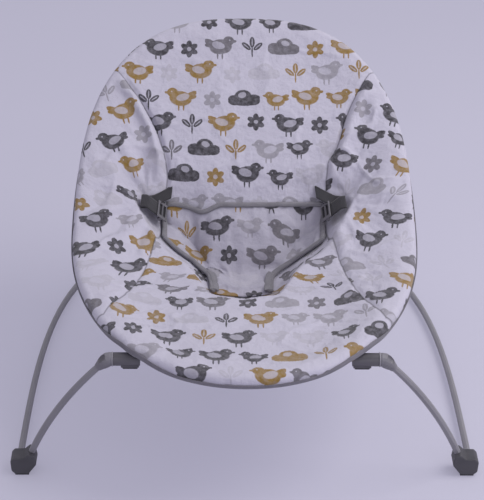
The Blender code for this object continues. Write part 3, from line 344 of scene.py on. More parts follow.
def cover_drop(x, s):
    """The printed face's distance below the ring's sheet; over the tube it stands above it."""
    top = WRAP_RADIUS - SLING_THICKNESS
    rim = np.maximum(rim_distance(x, s), 0.0)
    drop = sling_depth(x, s) - SLING_THICKNESS - top * bell(rim, 0.0, RIM_BLEND)
    return drop - cover_folds(x, s)


def cover_point(x, s):
    return on_ring_sheet(x, s, cover_drop(x, s))


def cover_normal(x, s, reach=0.003):
    across = cover_point(x + reach, s) - cover_point(x - reach, s)
    along = cover_point(x, s + reach) - cover_point(x, s - reach)
    return unit(np.cross(across, along))


def new_object(name, data):
    item = bpy.data.objects.new(name, data)
    bpy.context.scene.collection.objects.link(item)
    return item


def mesh_object(name, points, faces, material):
    mesh = bpy.data.meshes.new(name)
    mesh.from_pydata([tuple(point) for point in points], [], [tuple(face) for face in faces])
    mesh.materials.append(material)
    mesh.shade_smooth()
    return new_object(name, mesh)


def put_uv(item, name, values):
    """A UV map from one pair of values at each point, in metres on the flat cloth."""
    layer = item.data.uv_layers.new(name=name)
    loops = np.zeros(len(item.data.loops), int)
    item.data.loops.foreach_get("vertex_index", loops)
    layer.data.foreach_set("uv", np.asarray(values, np.float32)[loops].ravel())


def put_value(item, name, values):
    attribute = item.data.attributes.new(name, "FLOAT", "POINT")
    attribute.data.foreach_set("value", np.asarray(values, np.float32))


def grid_faces(rows, columns, start=0, closed=False):
    """Faces of a grid of points, closed round its columns if asked."""
    index = np.arange(rows * columns).reshape(rows, columns) + start
    if closed:
        index = np.hstack([index, index[:, :1]])
    quads = np.stack([index[:-1, :-1], index[:-1, 1:], index[1:, 1:], index[1:, :-1]], -1)
    return quads.reshape(-1, 4).tolist()


def border_of(rows, columns):
    """Once round the edge of a grid, counter-clockwise."""
    index = np.arange(rows * columns).reshape(rows, columns)
    return np.concatenate([index[0, :-1], index[:-1, -1], index[-1, :0:-1], index[:0:-1, 0]])


def shell_faces(rows, columns):
    """Faces of a closed sheet: its upper grid, its lower grid and the wall round them."""
    count = rows * columns
    faces = grid_faces(rows, columns) + [face[::-1] for face in grid_faces(rows, columns, start=count)]
    border = border_of(rows, columns).tolist()
    for one, two in zip(border, border[1:] + border[:1]):
        faces.append((two, one, one + count, two + count))
    return faces


def surface_of(mesh):
    points = [vertex.co for vertex in mesh.vertices]
    return BVHTree.FromPolygons(points, [list(polygon.vertices) for polygon in mesh.polygons])


def thicken(item, thickness, offset, second=None):
    """Gives a sheet its thickness, with a second material on the back and the rim if asked."""
    wall = item.modifiers.new("thickness", "SOLIDIFY")
    wall.thickness = thickness
    wall.offset = offset
    if second is not None:
        item.data.materials.append(second)
        wall.material_offset = 1
        wall.material_offset_rim = 1
    bpy.context.view_layer.update()
    evaluated = item.evaluated_get(bpy.context.evaluated_depsgraph_get())
    mesh = bpy.data.meshes.new_from_object(evaluated)
    item.modifiers.clear()
    old = item.data
    item.data = mesh
    bpy.data.meshes.remove(old)
    mesh.name = item.name
    mesh.shade_smooth()


def settle(item, hold, frames, cap, **settings):
    """Lets a piece settle as cloth from where it is laid, and caps how far each point may go."""
    mesh = item.data
    count = len(mesh.vertices)
    start = np.zeros(count * 3)
    mesh.vertices.foreach_get("co", start)
    start = start.reshape(-1, 3)
    group = item.vertex_groups.new(name="hold")
    for index, weight in enumerate(hold):
        group.add([index], float(weight), "REPLACE")
    modifier = item.modifiers.new("cloth", "CLOTH")
    cloth = modifier.settings
    cloth.vertex_group_mass = "hold"
    cloth.effector_weights.gravity = 0.0
    for name, value in settings.items():
        setattr(cloth, name, value)
    modifier.point_cache.frame_start = 1
    modifier.point_cache.frame_end = frames
    scene = bpy.context.scene
    for frame_number in range(1, frames + 1):
        scene.frame_set(frame_number)
    evaluated = item.evaluated_get(bpy.context.evaluated_depsgraph_get())
    end = np.zeros(count * 3)
    evaluated.data.vertices.foreach_get("co", end)
    move = end.reshape(-1, 3) - start
    length = np.linalg.norm(move, axis=1)[:, None]
    move *= np.tanh(length / cap) * cap / np.maximum(length, 1e-9)
    item.modifiers.remove(modifier)
    item.vertex_groups.remove(group)
    mesh.vertices.foreach_set("co", (start + move).ravel())
    mesh.update()
    scene.frame_set(1)


# The section of a tape or piping: its sides, how square it is, and its girth for half a width and height.
TAPE_SIDES = 10
TAPE_ROUNDNESS = 0.75
GIRTH_SHARE = 1.6


def tube_on_path(name, centres, widths, normals, half_width, half_height, material, closed=False):
    """A flattened cord: an oval section carried along a path, flat side to the surface below it."""
    sides = TAPE_SIDES
    angles = np.linspace(0.0, 2 * math.pi, sides, endpoint=False)
    waves = np.array([np.cos(angles), np.sin(angles)])
    flat, high = np.sign(waves) * np.abs(waves) ** TAPE_ROUNDNESS
    rows = len(centres)
    points = centres[:, None] + widths[:, None] * flat[None, :, None] * half_width
    points = points + normals[:, None] * high[None, :, None] * half_height
    faces = grid_faces(rows, sides, closed=True)
    if closed:
        last = (rows - 1) * sides
        faces += [(last + i, last + (i + 1) % sides, (i + 1) % sides, i) for i in range(sides)]
    else:
        faces.append(list(range(sides))[::-1])
        faces.append([(rows - 1) * sides + i for i in range(sides)])
    item = mesh_object(name, points.reshape(-1, 3), faces, material)
    along = lengths_along(centres)
    around = angles / (2 * math.pi) * 2 * (half_width + half_height) * GIRTH_SHARE
    uv = np.stack(np.broadcast_arrays(along[:, None], around[None, :]), -1).reshape(-1, 2)
    put_uv(item, "tape", uv)
    return item


def lengths_along(points):
    """The length of a path up to each of its points."""
    steps = np.linalg.norm(np.diff(points, axis=0), axis=1)
    return np.concatenate([[0.0], np.cumsum(steps)])


def smooth_path(points, count, passes=3):
    """Corner cutting of a chain of points, then even spacing."""
    points = np.asarray(points, float)
    for _ in range(passes):
        near = points[:-1] * 0.75 + points[1:] * 0.25
        far = points[:-1] * 0.25 + points[1:] * 0.75
        middle = np.stack([near, far], 1).reshape(-1, points.shape[1])
        points = np.vstack([points[:1], middle, points[-1:]])
    along = lengths_along(points)
    places = np.linspace(0.0, along[-1], count)
    return np.stack([np.interp(places, along, column) for column in points.T], 1)


def frames_on(path, normals):
    """A path's sideways directions, and its normals made square to it."""
    tangent = unit(np.gradient(path, axis=0))
    normals = unit(normals - tangent * np.sum(normals * tangent, 1)[:, None])
    return np.cross(tangent, normals), normals


# Real sizes in mm.
ORANGE_PEEL = 1.6
RUBBER_GRAIN = 0.8


def mottled(name, dark, light, scale, detail):
    """Starts a material whose tone wanders between two near colours, as no real surface is quite even."""
    material, tree = new_material(name)
    place = add(tree, "TexCoord", out="Object")
    cloud = add(tree, "TexNoise", {"Vector": place, "Scale": scale, "Detail": detail})
    tone = add(tree, "Mix", {0: cloud, 6: hex_colour(dark), 7: hex_colour(light)}, **COLOURS)
    return material, tree, place, cloud, tone


def fine_grain(tree, millimetres, strength):
    """A moulded grain for the shader's normal, from noise of a given size."""
    place = add(tree, "TexCoord", out="Object")
    texture = add(tree, "TexNoise", {"Vector": place, "Scale": 1000 / millimetres, "Detail": 3.0})
    return add(tree, "Bump", {"Height": texture, "Strength": strength, "Distance": 0.0002})


def moulded(name, colour, worn, grain, roughness):
    """A moulded nylon with a fine grain, slightly paler and smoother where it is handled."""
    material, tree = new_material(name)
    place = add(tree, "TexCoord", out="Object")
    patches = add(tree, "TexNoise", {"Vector": place, "Scale": 60.0, "Detail": 4.0, "Roughness": 0.6})
    rub = add(tree, "MapRange", (patches, 0.35, 0.70, 0.0, 0.5))
    edge = add(tree, "NewGeometry", out="Pointiness")
    edge = add(tree, "MapRange", (edge, 0.52, 0.60, 0.0, 0.8))
    share = add(tree, "Math", (rub, edge), operation="MAXIMUM")
    finish(tree, {
        "Base Color": add(tree, "Mix", {0: share, 6: hex_colour(colour), 7: hex_colour(worn)}, **COLOURS),
        "Roughness": add(tree, "MapRange", (patches, 0.0, 1.0, roughness - 0.06, roughness + 0.08)),
        "Specular IOR Level": 0.45,
        "Normal": fine_grain(tree, grain, 0.35),
    })
    return material


def powder_coat():
    """Steel wire with a satin warm grey powder coat, sprayed and baked: a faint orange peel breaks up
    the long highlights, and the coat pools a little darker here and there."""
    material, tree, place, cloud, tone = mottled("powder_coated_steel", "77757B", "8C8A90", 24.0, 3.0)
    peel = add(tree, "TexNoise", {"Vector": place, "Scale": 1000 / ORANGE_PEEL, "Detail": 1.0})
    finish(tree, {
        "Base Color": tone,
        "Roughness": add(tree, "MapRange", (cloud, 0.0, 1.0, 0.34, 0.48)),
        "Specular IOR Level": 0.55,
        "Normal": add(tree, "Bump", {"Height": peel, "Strength": 0.25, "Distance": 0.0002}),
    })
    return material


def zinc_plate():
    """Zinc-plated steel screws and springs: a bright, slightly bluish metal with fine turning marks."""
    material, tree, _, marks, tone = mottled("zinc_plated_steel", "A9AAB0", "C6C7CC", 900.0, 2.0)
    finish(tree, {
        "Base Color": tone,
        "Metallic": 1.0,
        "Roughness": add(tree, "MapRange", (marks, 0.0, 1.0, 0.25, 0.42)),
        "Normal": add(tree, "Bump", {"Height": marks, "Strength": 0.2, "Distance": 0.0001}),
    })
    return material


def sole_rubber():
    """Moulded rubber: nearly black, dull, with a dusty bloom in patches."""
    material, tree, _, _, tone = mottled("moulded_rubber", "2E2D31", "454348", 140.0, 5.0)
    normal = fine_grain(tree, RUBBER_GRAIN, 0.4)
    finish(tree, {"Base Color": tone, "Roughness": 0.82, "Specular IOR Level": 0.3, "Normal": normal})
    return material


def crossed_waves(tree, place, turns):
    """A sine wave along each of a cloth's two directions, for its ribs or threads."""
    parts = add(tree, "SeparateXYZ", (place,)).node
    waves = []
    for axis, rate in enumerate(turns):
        angle = add(tree, "Math", (parts.outputs[axis], rate), operation="MULTIPLY")
        waves.append(add(tree, "Math", (angle,), operation="SINE"))
    return waves


def tape_weave(name, dark, light, rib):
    """Polyester tape woven with ribs across its length. The real ribs are about 0.6 mm apart, and are
    drawn coarser so that they show."""
    material, tree = new_material(name)
    place = add(tree, "UVMap", uv_map="tape")
    ribs, warp = crossed_waves(tree, place, [2 * math.pi * 1000 / pitch for pitch in (rib, rib * 1.3)])
    weave = add(tree, "Math", (ribs, warp), operation="MULTIPLY")
    weave = add(tree, "Math", (weave, ribs), operation="ADD")
    space = add(tree, "TexCoord", out="Object")
    wear = add(tree, "TexNoise", {"Vector": space, "Scale": 90.0, "Detail": 4.0})
    share = add(tree, "MapRange", (weave, -1.6, 1.6, 0.1, 0.7))
    share = add(tree, "Math", (share, wear), operation="MULTIPLY")
    share = add(tree, "Math", (share, 1.6), operation="MULTIPLY", use_clamp=True)
    finish(tree, {
        "Base Color": add(tree, "Mix", {0: share, 6: hex_colour(dark), 7: hex_colour(light)}, **COLOURS),
        "Roughness": 0.86,
        "Specular IOR Level": 0.25,
        "Sheen Weight": 0.25,
        "Sheen Roughness": 0.5,
        "Normal": add(tree, "Bump", {"Height": weave, "Strength": 0.5, "Distance": 0.0003}),
    })
    return material


# The print's repeat in mm, how far each row is shifted, and how far a motif may stand off its row.
COLUMN_PITCH = 40.5
ROW_PITCH = 35.0
ROW_SHIFT = 0.37
ROW_JUMP = 3.0
# What a motif's millimetres are divided by, the small ones' a second time.
PRINT_SCALE = 0.86
SMALL_SCALE = 1.24
THREAD_PITCH = 1.1
# The print's inks, each from a share of the chances on.
INKS = ((0.0, "3B393E"), (0.30, "96939C"), (0.50, "B4B1BD"), (0.70, "8C7038"), (0.92, "68656B"))
# Motifs of the print, each a set of ovals: centre x, y, half width, half height in mm, turn in degrees.
BIRD = (
    (0.0, 0.0, 12.2, 8.8, -8.0), (-8.8, 7.2, 5.9, 5.5, 0.0), (-14.6, 6.8, 3.3, 1.5, -6.0),
    (11.6, 4.6, 7.2, 3.2, 28.0), (10.8, 1.6, 6.9, 2.8, 6.0), (-1.8, -10.6, 0.9, 4.6, 0.0),
    (3.4, -10.4, 0.9, 4.6, 0.0),
)
BIRD_WING = ((2.6, 1.6, 7.2, 4.2, 16.0), (-9.9, 8.2, 0.9, 0.9, 0.0))
CLOUD = (
    (-10.5, -1.6, 7.4, 6.0, 0.0), (-1.0, 3.0, 9.4, 8.4, 0.0), (10.2, -0.6, 7.8, 6.6, 0.0),
    (0.0, -4.4, 15.0, 3.6, 0.0),
)
CLOUD_LIGHT = ((-2.0, 5.2, 4.6, 3.4, 20.0),)
SPRIG = (
    (0.0, 7.0, 3.6, 7.6, 0.0), (-8.0, 1.0, 3.4, 7.6, 48.0), (8.0, 1.0, 3.4, 7.6, -48.0),
    (0.0, -7.0, 1.1, 8.0, 0.0),
)
SPRIG_VEIN = ((0.0, 7.0, 0.8, 5.6, 0.0), (-8.0, 1.0, 0.8, 5.4, 48.0), (8.0, 1.0, 0.8, 5.4, -48.0))
BLOSSOM = tuple(
    (6.4 * math.sin(math.radians(turn)), 6.4 * math.cos(math.radians(turn)), 3.9, 6.2, -turn)
    for turn in range(0, 360, 60)
)
BLOSSOM_EYE = ((0.0, 0.0, 3.0, 3.0, 0.0),)


def oval_field(tree, place, ovals):
    """Below one inside any of a motif's ovals."""
    field = None
    for x, y, wide, high, turn in ovals:
        local = add(tree, "Mapping", {
            "Vector": place,
            "Location": (x, y, 0.0),
            "Rotation": (0.0, 0.0, math.radians(turn)),
            "Scale": (wide, high, 1.0),
        }, vector_type="TEXTURE")
        reach = add(tree, "VectorMath", (local,), out="Value", operation="LENGTH")
        field = reach if field is None else add(tree, "Math", (field, reach), operation="MINIMUM")
    return field


def printed_cotton(name, wings, ground):
    """Plain-woven cotton with a screen print: matt, soft, with print ink that sits in the thread.
    The real threads are about 0.35 mm apart, and are drawn at 1.1 mm so that they show."""
    material, tree = new_material(name)
    place = add(tree, "UVMap", uv_map="middle")
    if wings:
        outer = add(tree, "UVMap", uv_map="wing")
        seam = add(tree, "Attribute", out="Fac", attribute_name="seam")
        side = add(tree, "Math", (seam, 0.0), operation="GREATER_THAN")
        place = add(tree, "Mix", {0: side, 4: place, 5: outer}, out=1, data_type="VECTOR")
    flat = add(tree, "VectorMath", {0: place, 3: 1000.0}, operation="SCALE")
    wobble = add(tree, "TexNoise", {"Vector": flat, "Scale": 0.5, "Detail": 2.0}, out=1)
    wobble = add(tree, "VectorMath", (wobble, (0.5, 0.5, 0.5)), operation="SUBTRACT")
    wobble = add(tree, "VectorMath", {0: wobble, 3: 0.9}, operation="SCALE")
    drawn = add(tree, "VectorMath", (flat, wobble), operation="ADD")
    parts = add(tree, "SeparateXYZ", (drawn,)).node
    row = add(tree, "Math", (parts.outputs[1], ROW_PITCH), operation="DIVIDE")
    row_number = add(tree, "Math", (row,), operation="FLOOR")
    shift = add(tree, "Math", (row_number, ROW_SHIFT), operation="MULTIPLY")
    column = add(tree, "Math", (parts.outputs[0], COLUMN_PITCH), operation="DIVIDE")
    column = add(tree, "Math", (column, shift), operation="ADD")
    column_number = add(tree, "Math", (column,), operation="FLOOR")
    cell = add(tree, "CombineXYZ", (column_number, row_number, 0.0))
    chance = add(tree, "TexWhiteNoise", {"Vector": cell}, out=1, noise_dimensions="2D")
    kind, ink_chance, turn_chance = add(tree, "SeparateColor", (chance,)).node.outputs
    local = []
    for line, number, pitch in ((column, column_number, COLUMN_PITCH), (row, row_number, ROW_PITCH)):
        offset = add(tree, "Math", (line, number), operation="SUBTRACT")
        offset = add(tree, "Math", (offset, 0.5), operation="SUBTRACT")
        local.append(add(tree, "Math", (offset, pitch), operation="MULTIPLY"))
    jump = add(tree, "MapRange", (turn_chance, 0.0, 1.0, -ROW_JUMP, ROW_JUMP))
    high = add(tree, "Math", (local[1], jump), operation="ADD")
    faces_left = add(tree, "Math", (turn_chance, 0.5), operation="GREATER_THAN")
    mirror = add(tree, "MapRange", (faces_left, 0.0, 1.0, -1.0, 1.0))
    mirrored = add(tree, "Math", (local[0], mirror), operation="MULTIPLY")
    spot = add(tree, "CombineXYZ", (mirrored, high, 0.0))
    spot = add(tree, "VectorMath", {0: spot, 3: PRINT_SCALE}, operation="SCALE")
    small_spot = add(tree, "VectorMath", {0: spot, 3: SMALL_SCALE}, operation="SCALE")
    parity = add(tree, "Math", (column_number, row_number), operation="ADD")
    parity = add(tree, "Math", (parity, 2.0), operation="FLOORED_MODULO")
    is_cloud, is_blossom, is_small_bird = (
        add(tree, "Math", (kind, above), operation="GREATER_THAN") for above in (0.66, 0.36, 0.70)
    )
    fields = []
    shapes = (BIRD, CLOUD, SPRIG, BLOSSOM)
    marks = (BIRD_WING, CLOUD_LIGHT, SPRIG_VEIN, BLOSSOM_EYE)
    for motifs in (shapes, marks):
        bird, cloud = (oval_field(tree, spot, motif) for motif in motifs[:2])
        sprig, blossom, small_bird = (oval_field(tree, small_spot, motifs[i]) for i in (2, 3, 0))
        big = add(tree, "Mix", {0: is_cloud, 2: bird, 3: cloud})
        small = add(tree, "Mix", {0: is_blossom, 2: sprig, 3: blossom})
        small = add(tree, "Mix", {0: is_small_bird, 2: small, 3: small_bird})
        fields.append(add(tree, "Mix", {0: parity, 2: big, 3: small}))
    motif = add(tree, "MapRange", (fields[0], 0.96, 1.06, 1.0, 0.0))
    paler = add(tree, "MapRange", (fields[1], 0.93, 1.07, 1.0, 0.0))
    ink = add(tree, "ValToRGB", (ink_chance,))
    ramp = ink.node.color_ramp
    ramp.interpolation = "CONSTANT"
    while len(ramp.elements) < len(INKS):
        ramp.elements.new(0.5)
    for element, (start, colour) in zip(ramp.elements, INKS):
        element.position = start
        element.color = hex_colour(colour)
    cloth = hex_colour(ground)
    faded = add(tree, "Mix", {0: 0.62, 6: ink, 7: cloth}, **COLOURS)
    ink_tone = add(tree, "Mix", {0: paler, 6: ink, 7: faded}, **COLOURS)
    mottle = add(tree, "TexNoise", {"Vector": flat, "Scale": 0.16, "Detail": 5.0, "Roughness": 0.65})
    cover = add(tree, "MapRange", (mottle, 0.25, 0.60, 0.72, 1.0))
    cover = add(tree, "Math", (motif, cover), operation="MULTIPLY")
    tone = add(tree, "Mix", {0: cover, 6: cloth, 7: ink_tone}, **COLOURS)
    threads = crossed_waves(tree, flat, [2 * math.pi / THREAD_PITCH] * 2)
    weave = add(tree, "Math", threads, operation="MULTIPLY")
    slub = add(tree, "TexNoise", {"Vector": flat, "Scale": 0.9, "Detail": 3.0})
    weave = add(tree, "Math", (weave, slub), operation="ADD")
    shade = add(tree, "MapRange", (weave, -0.6, 1.6, 0.92, 1.04))
    if wings:
        # The seam shows as a fine dark line: painted shade that stands in for the shadow in the seam's
        # groove.
        line = add(tree, "Math", (seam,), operation="ABSOLUTE")
        line = add(tree, "MapRange", (line, 0.0003, 0.0014, 0.50, 1.0))
        shade = add(tree, "Math", (shade, line), operation="MULTIPLY")
    shade = add(tree, "CombineXYZ", (shade, shade, shade))
    tone = add(tree, "Mix", {0: 1.0, 6: tone, 7: shade}, blend_type="MULTIPLY", **COLOURS)
    crumple = add(tree, "TexNoise", {"Vector": flat, "Scale": 0.06, "Detail": 4.0, "Roughness": 0.55})
    soft = add(tree, "Bump", {"Height": crumple, "Strength": 0.70, "Distance": 0.0050})
    normal = add(tree, "Bump", {"Height": weave, "Strength": 0.35, "Distance": 0.00025, "Normal": soft})
    finish(tree, {
        "Base Color": tone,
        "Roughness": 0.92,
        "Specular IOR Level": 0.2,
        "Sheen Weight": 0.2,
        "Sheen Roughness": 0.6,
        "Normal": normal,
    })
    return material


def plain_cotton():
    """The lining: the same plain-woven cotton, unprinted, so only its threads and soft crumples show."""
    material, tree, place, slub, tone = mottled("cotton_lining", "C9C6D3", "D6D3E0", 700.0, 3.0)
    crumple = add(tree, "TexNoise", {"Vector": place, "Scale": 45.0, "Detail": 4.0})
    soft = add(tree, "Bump", {"Height": crumple, "Strength": 0.5, "Distance": 0.003})
    finish(tree, {
        "Base Color": tone,
        "Roughness": 0.93,
        "Specular IOR Level": 0.2,
        "Sheen Weight": 0.2,
        "Normal": add(tree, "Bump", {"Height": slub, "Strength": 0.35, "Distance": 0.0002, "Normal": soft}),
    })
    return material


COAT = powder_coat()
ZINC = zinc_plate()
LINING = plain_cotton()
PRINT = printed_cotton("printed_cotton", wings=True, ground="BFBCCB")
# The panel is the cover's cloth with a darker ground: painted shade for its place deep in the seat.
SHADED_PANEL_PRINT = printed_cotton("printed_panel_cotton_shaded", wings=False, ground="AFACBA")
WEBBING = tape_weave("webbing", "2B2A2E", "454449", rib=1.8)
BINDING = tape_weave("binding_tape", "6A6770", "88858E", rib=1.5)
PIPING = tape_weave("panel_binding", "6E6C72", "9A989F", rib=1.5)

# The nodes that keep their CAD solids, and the linings and tapes that others replace.
FINISHES = (
    (("base_rail", "spring_arm", "seat_bow"), COAT),
    (("foot_screw", "pivot_screw", "socket_screw", "lock_spring"), ZINC),
    (("foot_sole", "rear_grip"), sole_rubber()),
    (("foot_left", "foot_right"), moulded("foot_nylon", "3D3C41", "5A595E", grain=0.9, roughness=0.56)),
    (("hub_housing",), moulded("hub_nylon", "4B494E", "626066", grain=0.9, roughness=0.46)),
    (("hub_elbow",), moulded("elbow_nylon", "6E6C71", "84828A", grain=0.9, roughness=0.46)),
    (("hub_washer",), moulded("trim_nylon", "8E8C93", "A3A1A8", grain=0.8, roughness=0.42)),
    (("strap_slider",), moulded("slider_nylon", "57555B", "77757B", grain=0.8, roughness=0.42)),
    (("lock_button",), moulded("button_nylon", "1F1E21", "302F33", grain=0.9, roughness=0.60)),
    (("webbing",), WEBBING),
    (("edge_binding",), BINDING),
    (("cover_hem", "seat_sling", "waist_panel"), LINING),
)
for node_name, node_object in NODES.items():
    for starts, material_here in FINISHES:
        if node_name.startswith(starts):
            for material_slot in node_object.material_slots:
                material_slot.material = material_here


# Where the printed cloth was cut for the middle piece and the wings, and how the wings' print is turned.
PRINT_MIDDLE = (0.011, 0.006)
PRINT_WINGS = (0.530, 0.270)
WING_TURN_LEFT = math.radians(-17.0)
WING_TURN_RIGHT = math.radians(14.0)
WING_DRAW = LAP_DRAW + 0.06
# The cloth wraps over the tube from its top to a little below its outer side.
WRAP_ANGLES = np.radians(np.linspace(90.0, -26.0, 10))[1:]
GATHER_HEIGHT = 0.00075


def make_cover():
    """The printed seat: a square grid drawn out to the ring's outline, its edge wrapped over the tube.
    Gives the piece, how firmly each point is held as it settles, and the directions round its edge."""
    a, b = np.meshgrid(np.linspace(-1, 1, COVER_COLUMNS + 1), np.linspace(-1, 1, COVER_ROWS + 1))
    x = a * np.sqrt(1 - b ** 2 / 2)
    s = b * np.sqrt(1 - a ** 2 / 2)
    reach = np.hypot(x, s)
    angle = np.arctan2(s, x)
    length, power = ring_end(s)
    radius = (np.abs(np.cos(angle)) ** power + np.abs(np.sin(angle)) ** power) ** (-1 / power)
    x = RING_HALF_WIDTH * reach * radius * np.cos(angle)
    s = length * reach * radius * np.sin(angle)
    points = cover_point(x, s).reshape(-1, 3)
    faces = grid_faces(*x.shape)
    border = border_of(*x.shape)
    edge_x = x.ravel()[border]
    edge_s = s.ravel()[border]
    centre = on_ring_sheet(edge_x, edge_s)
    slope = blend_slope(edge_s)
    off = np.column_stack([np.zeros(len(slope)), -np.sin(slope), np.cos(slope)])
    outward = unit(np.cross(np.roll(centre, -1, 0) - np.roll(centre, 1, 0), off))
    around = np.cumsum(np.linalg.norm(centre - np.roll(centre, 1, 0), axis=1))
    front = clamp((-edge_s - 0.10) / 0.12)
    gather = noise(around * 75.0, np.full(len(around), 3.3), 21) * (0.15 + 0.85 * front)
    gather += 0.6 * noise(around * 140.0, np.full(len(around), 8.1), 22) * front
    last = border
    flat_x = [x.ravel()]
    flat_s = [s.ravel()]
    for step in WRAP_ANGLES:
        wrap = WRAP_RADIUS + GATHER_HEIGHT * gather * math.cos(step)
        new = np.arange(len(border)) + len(points)
        faces += np.stack([last, new, np.roll(new, -1), np.roll(last, -1)], -1).tolist()
        ring = centre + wrap[:, None] * (outward * math.cos(step) + off * math.sin(step))
        points = np.vstack([points, ring])
        push = WRAP_RADIUS * (math.pi / 2 - step)
        flat_x.append(edge_x + outward[:, 0] * push)
        flat_s.append(edge_s + (outward[:, 1] * np.cos(slope) + outward[:, 2] * np.sin(slope)) * push)
        last = new
    item = mesh_object("printed_cover", points, faces, PRINT)
    inside_x = np.concatenate([flat_x[0], np.tile(edge_x, len(WRAP_ANGLES))])
    inside_s = np.concatenate([flat_s[0], np.tile(edge_s, len(WRAP_ANGLES))])
    lay_print(item, inside_x, inside_s, np.concatenate(flat_x), np.concatenate(flat_s))
    # The cloth is held at the rim and round the panel and the straps, and loosest along the seams.
    hold = np.ones(len(points))
    loose = clamp((rim_distance(flat_x[0], flat_s[0]) - 0.006) / 0.025)
    loose *= 0.35 + 0.65 * bell(seam_distance(flat_x[0], flat_s[0]), 0.02, 0.035)
    under = np.hypot(flat_x[0] / 0.135, (flat_s[0] - 0.020) / 0.065)
    loose *= clamp((under - 0.95) / 0.15)
    hold[:x.size] = 1.0 - 0.92 * loose
    return item, hold, (centre, outward, off, edge_s)


def lay_print(item, inside_x, inside_s, flat_x, flat_s):
    """UV maps of the cloth, by the length along and across the seat to each point, past the rim too."""
    run = np.zeros(len(inside_x))
    before = sling_point(inside_x * 0, inside_s)
    for step in range(1, 25):
        here = sling_point(inside_x * step / 24, inside_s)
        run += np.linalg.norm(here - before, axis=1)
        before = here
    u = np.sign(inside_x) * run + (flat_x - inside_x)
    line = np.linspace(-RING_FRONT_LENGTH, RING_BACK_LENGTH, 400)
    length_v = lengths_along(sling_point(line * 0, line))
    length_v -= np.interp(0.0, line, length_v)
    # The lap is pulled tight over the front bow, which draws its print out along the seat.
    at_lip = np.interp(POCKET_LIP[0][1], line, length_v)
    length_v = np.where(length_v < at_lip, at_lip + (length_v - at_lip) * LAP_DRAW, length_v)
    v = np.interp(flat_s, line, length_v) + (flat_s - np.clip(flat_s, line[0], line[-1]))
    put_uv(item, "middle", np.column_stack([u, v]) + PRINT_MIDDLE)
    turn = np.where(inside_x < 0, WING_TURN_LEFT, WING_TURN_RIGHT)
    drawn_s = np.where(flat_s < 0.0, flat_s * WING_DRAW, flat_s)
    wing_u = u * np.cos(turn) - drawn_s * np.sin(turn)
    wing_v = u * np.sin(turn) + drawn_s * np.cos(turn)
    put_uv(item, "wing", np.column_stack([wing_u, wing_v]) + PRINT_WINGS)
    put_value(item, "seam", seam_distance(inside_x, inside_s))


cover, cover_hold, rim_frames = make_cover()
settle(
    cover, cover_hold, frames=10, cap=0.0030,
    quality=4, mass=0.15, tension_stiffness=12.0, compression_stiffness=12.0, shear_stiffness=5.0,
    bending_stiffness=0.15, shrink_min=-0.022,
)
cover_face = surface_of(cover.data)
thicken(cover, COVER_THICKNESS, offset=-1.0, second=LINING)
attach(cover, "seat")
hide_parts("seat_sling")


def above_cover(points, gap):
    """Lifts the points that would pass through the settled cover to a small gap above its face."""
    lifted = np.array(points, float)
    for index, point in enumerate(lifted.reshape(-1, 3)):
        place, normal = cover_face.find_nearest(Vector(point))[:2]
        normal = np.array(normal)
        height = float(np.dot(point - np.array(place), normal))
        if height < gap:
            lifted.reshape(-1, 3)[index] += normal * (gap - height)
    return lifted


# Half the width and half the thickness of the tape round the rim.
RIM_TAPE_HALF = (0.0031, 0.0010)
# The sleeve runs round the tube's underside, and is cut open round each hub.
SLEEVE_ANGLES = np.radians(np.linspace(-22.0, -188.0, 12))
SLEEVE_THICKNESS = 0.0008
HUB_CUT = 0.027
HUB_CUT_END = math.radians(-165.0)


def make_rim_tape():
    """The grey binding that closes the cover's edge over the tube, and the sleeve under the tube."""
    centre, outward, off, edge_s = (values[::2] for values in rim_frames)
    away = np.hypot(np.abs(centre[:, 0]) - HUB_CROSSING_X, centre[:, 1] - (FOOT_Y - PIVOT_SETBACK))
    turned = clamp((away - 0.020) / 0.040)
    tilt = np.radians(-12.0 + 36.0 * turned + 24.0 * clamp((edge_s - 0.02) / 0.08))[:, None]
    normal = outward * np.cos(tilt) - off * np.sin(tilt)
    wide = outward * np.sin(tilt) + off * np.cos(tilt)
    path = centre + (WRAP_RADIUS + 0.0007) * normal
    tape = tube_on_path("cover_binding_tape", path, wide, normal, *RIM_TAPE_HALF, BINDING, closed=True)
    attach(tape, "seat")
    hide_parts("edge_binding")
    count = len(centre)
    rings = []
    for angle in SLEEVE_ANGLES:
        gather = noise(np.arange(count) * 0.42, np.full(count, angle * 2.0), 31)
        size = HEM_RADIUS - 0.0002 + 0.0003 * gather
        rings.append(centre + size[:, None] * (outward * math.cos(angle) + off * math.sin(angle)))
    near = (away < HUB_CUT) & (np.roll(away, -1) < HUB_CUT)
    band = (SLEEVE_ANGLES[:-1] + SLEEVE_ANGLES[1:]) / 2
    cut = near[None, :] & (band > HUB_CUT_END)[:, None]
    faces = np.array(grid_faces(len(SLEEVE_ANGLES), count, closed=True))[~cut.ravel()]
    used = np.unique(faces)
    faces = np.searchsorted(used, faces).tolist()
    sleeve = mesh_object("cover_sleeve", np.vstack(rings)[used], faces, LINING)
    thicken(sleeve, SLEEVE_THICKNESS, offset=0.0)
    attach(sleeve, "seat")
    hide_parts("cover_hem")
    return tape, sleeve


rim_tape, rim_sleeve = make_rim_tape()

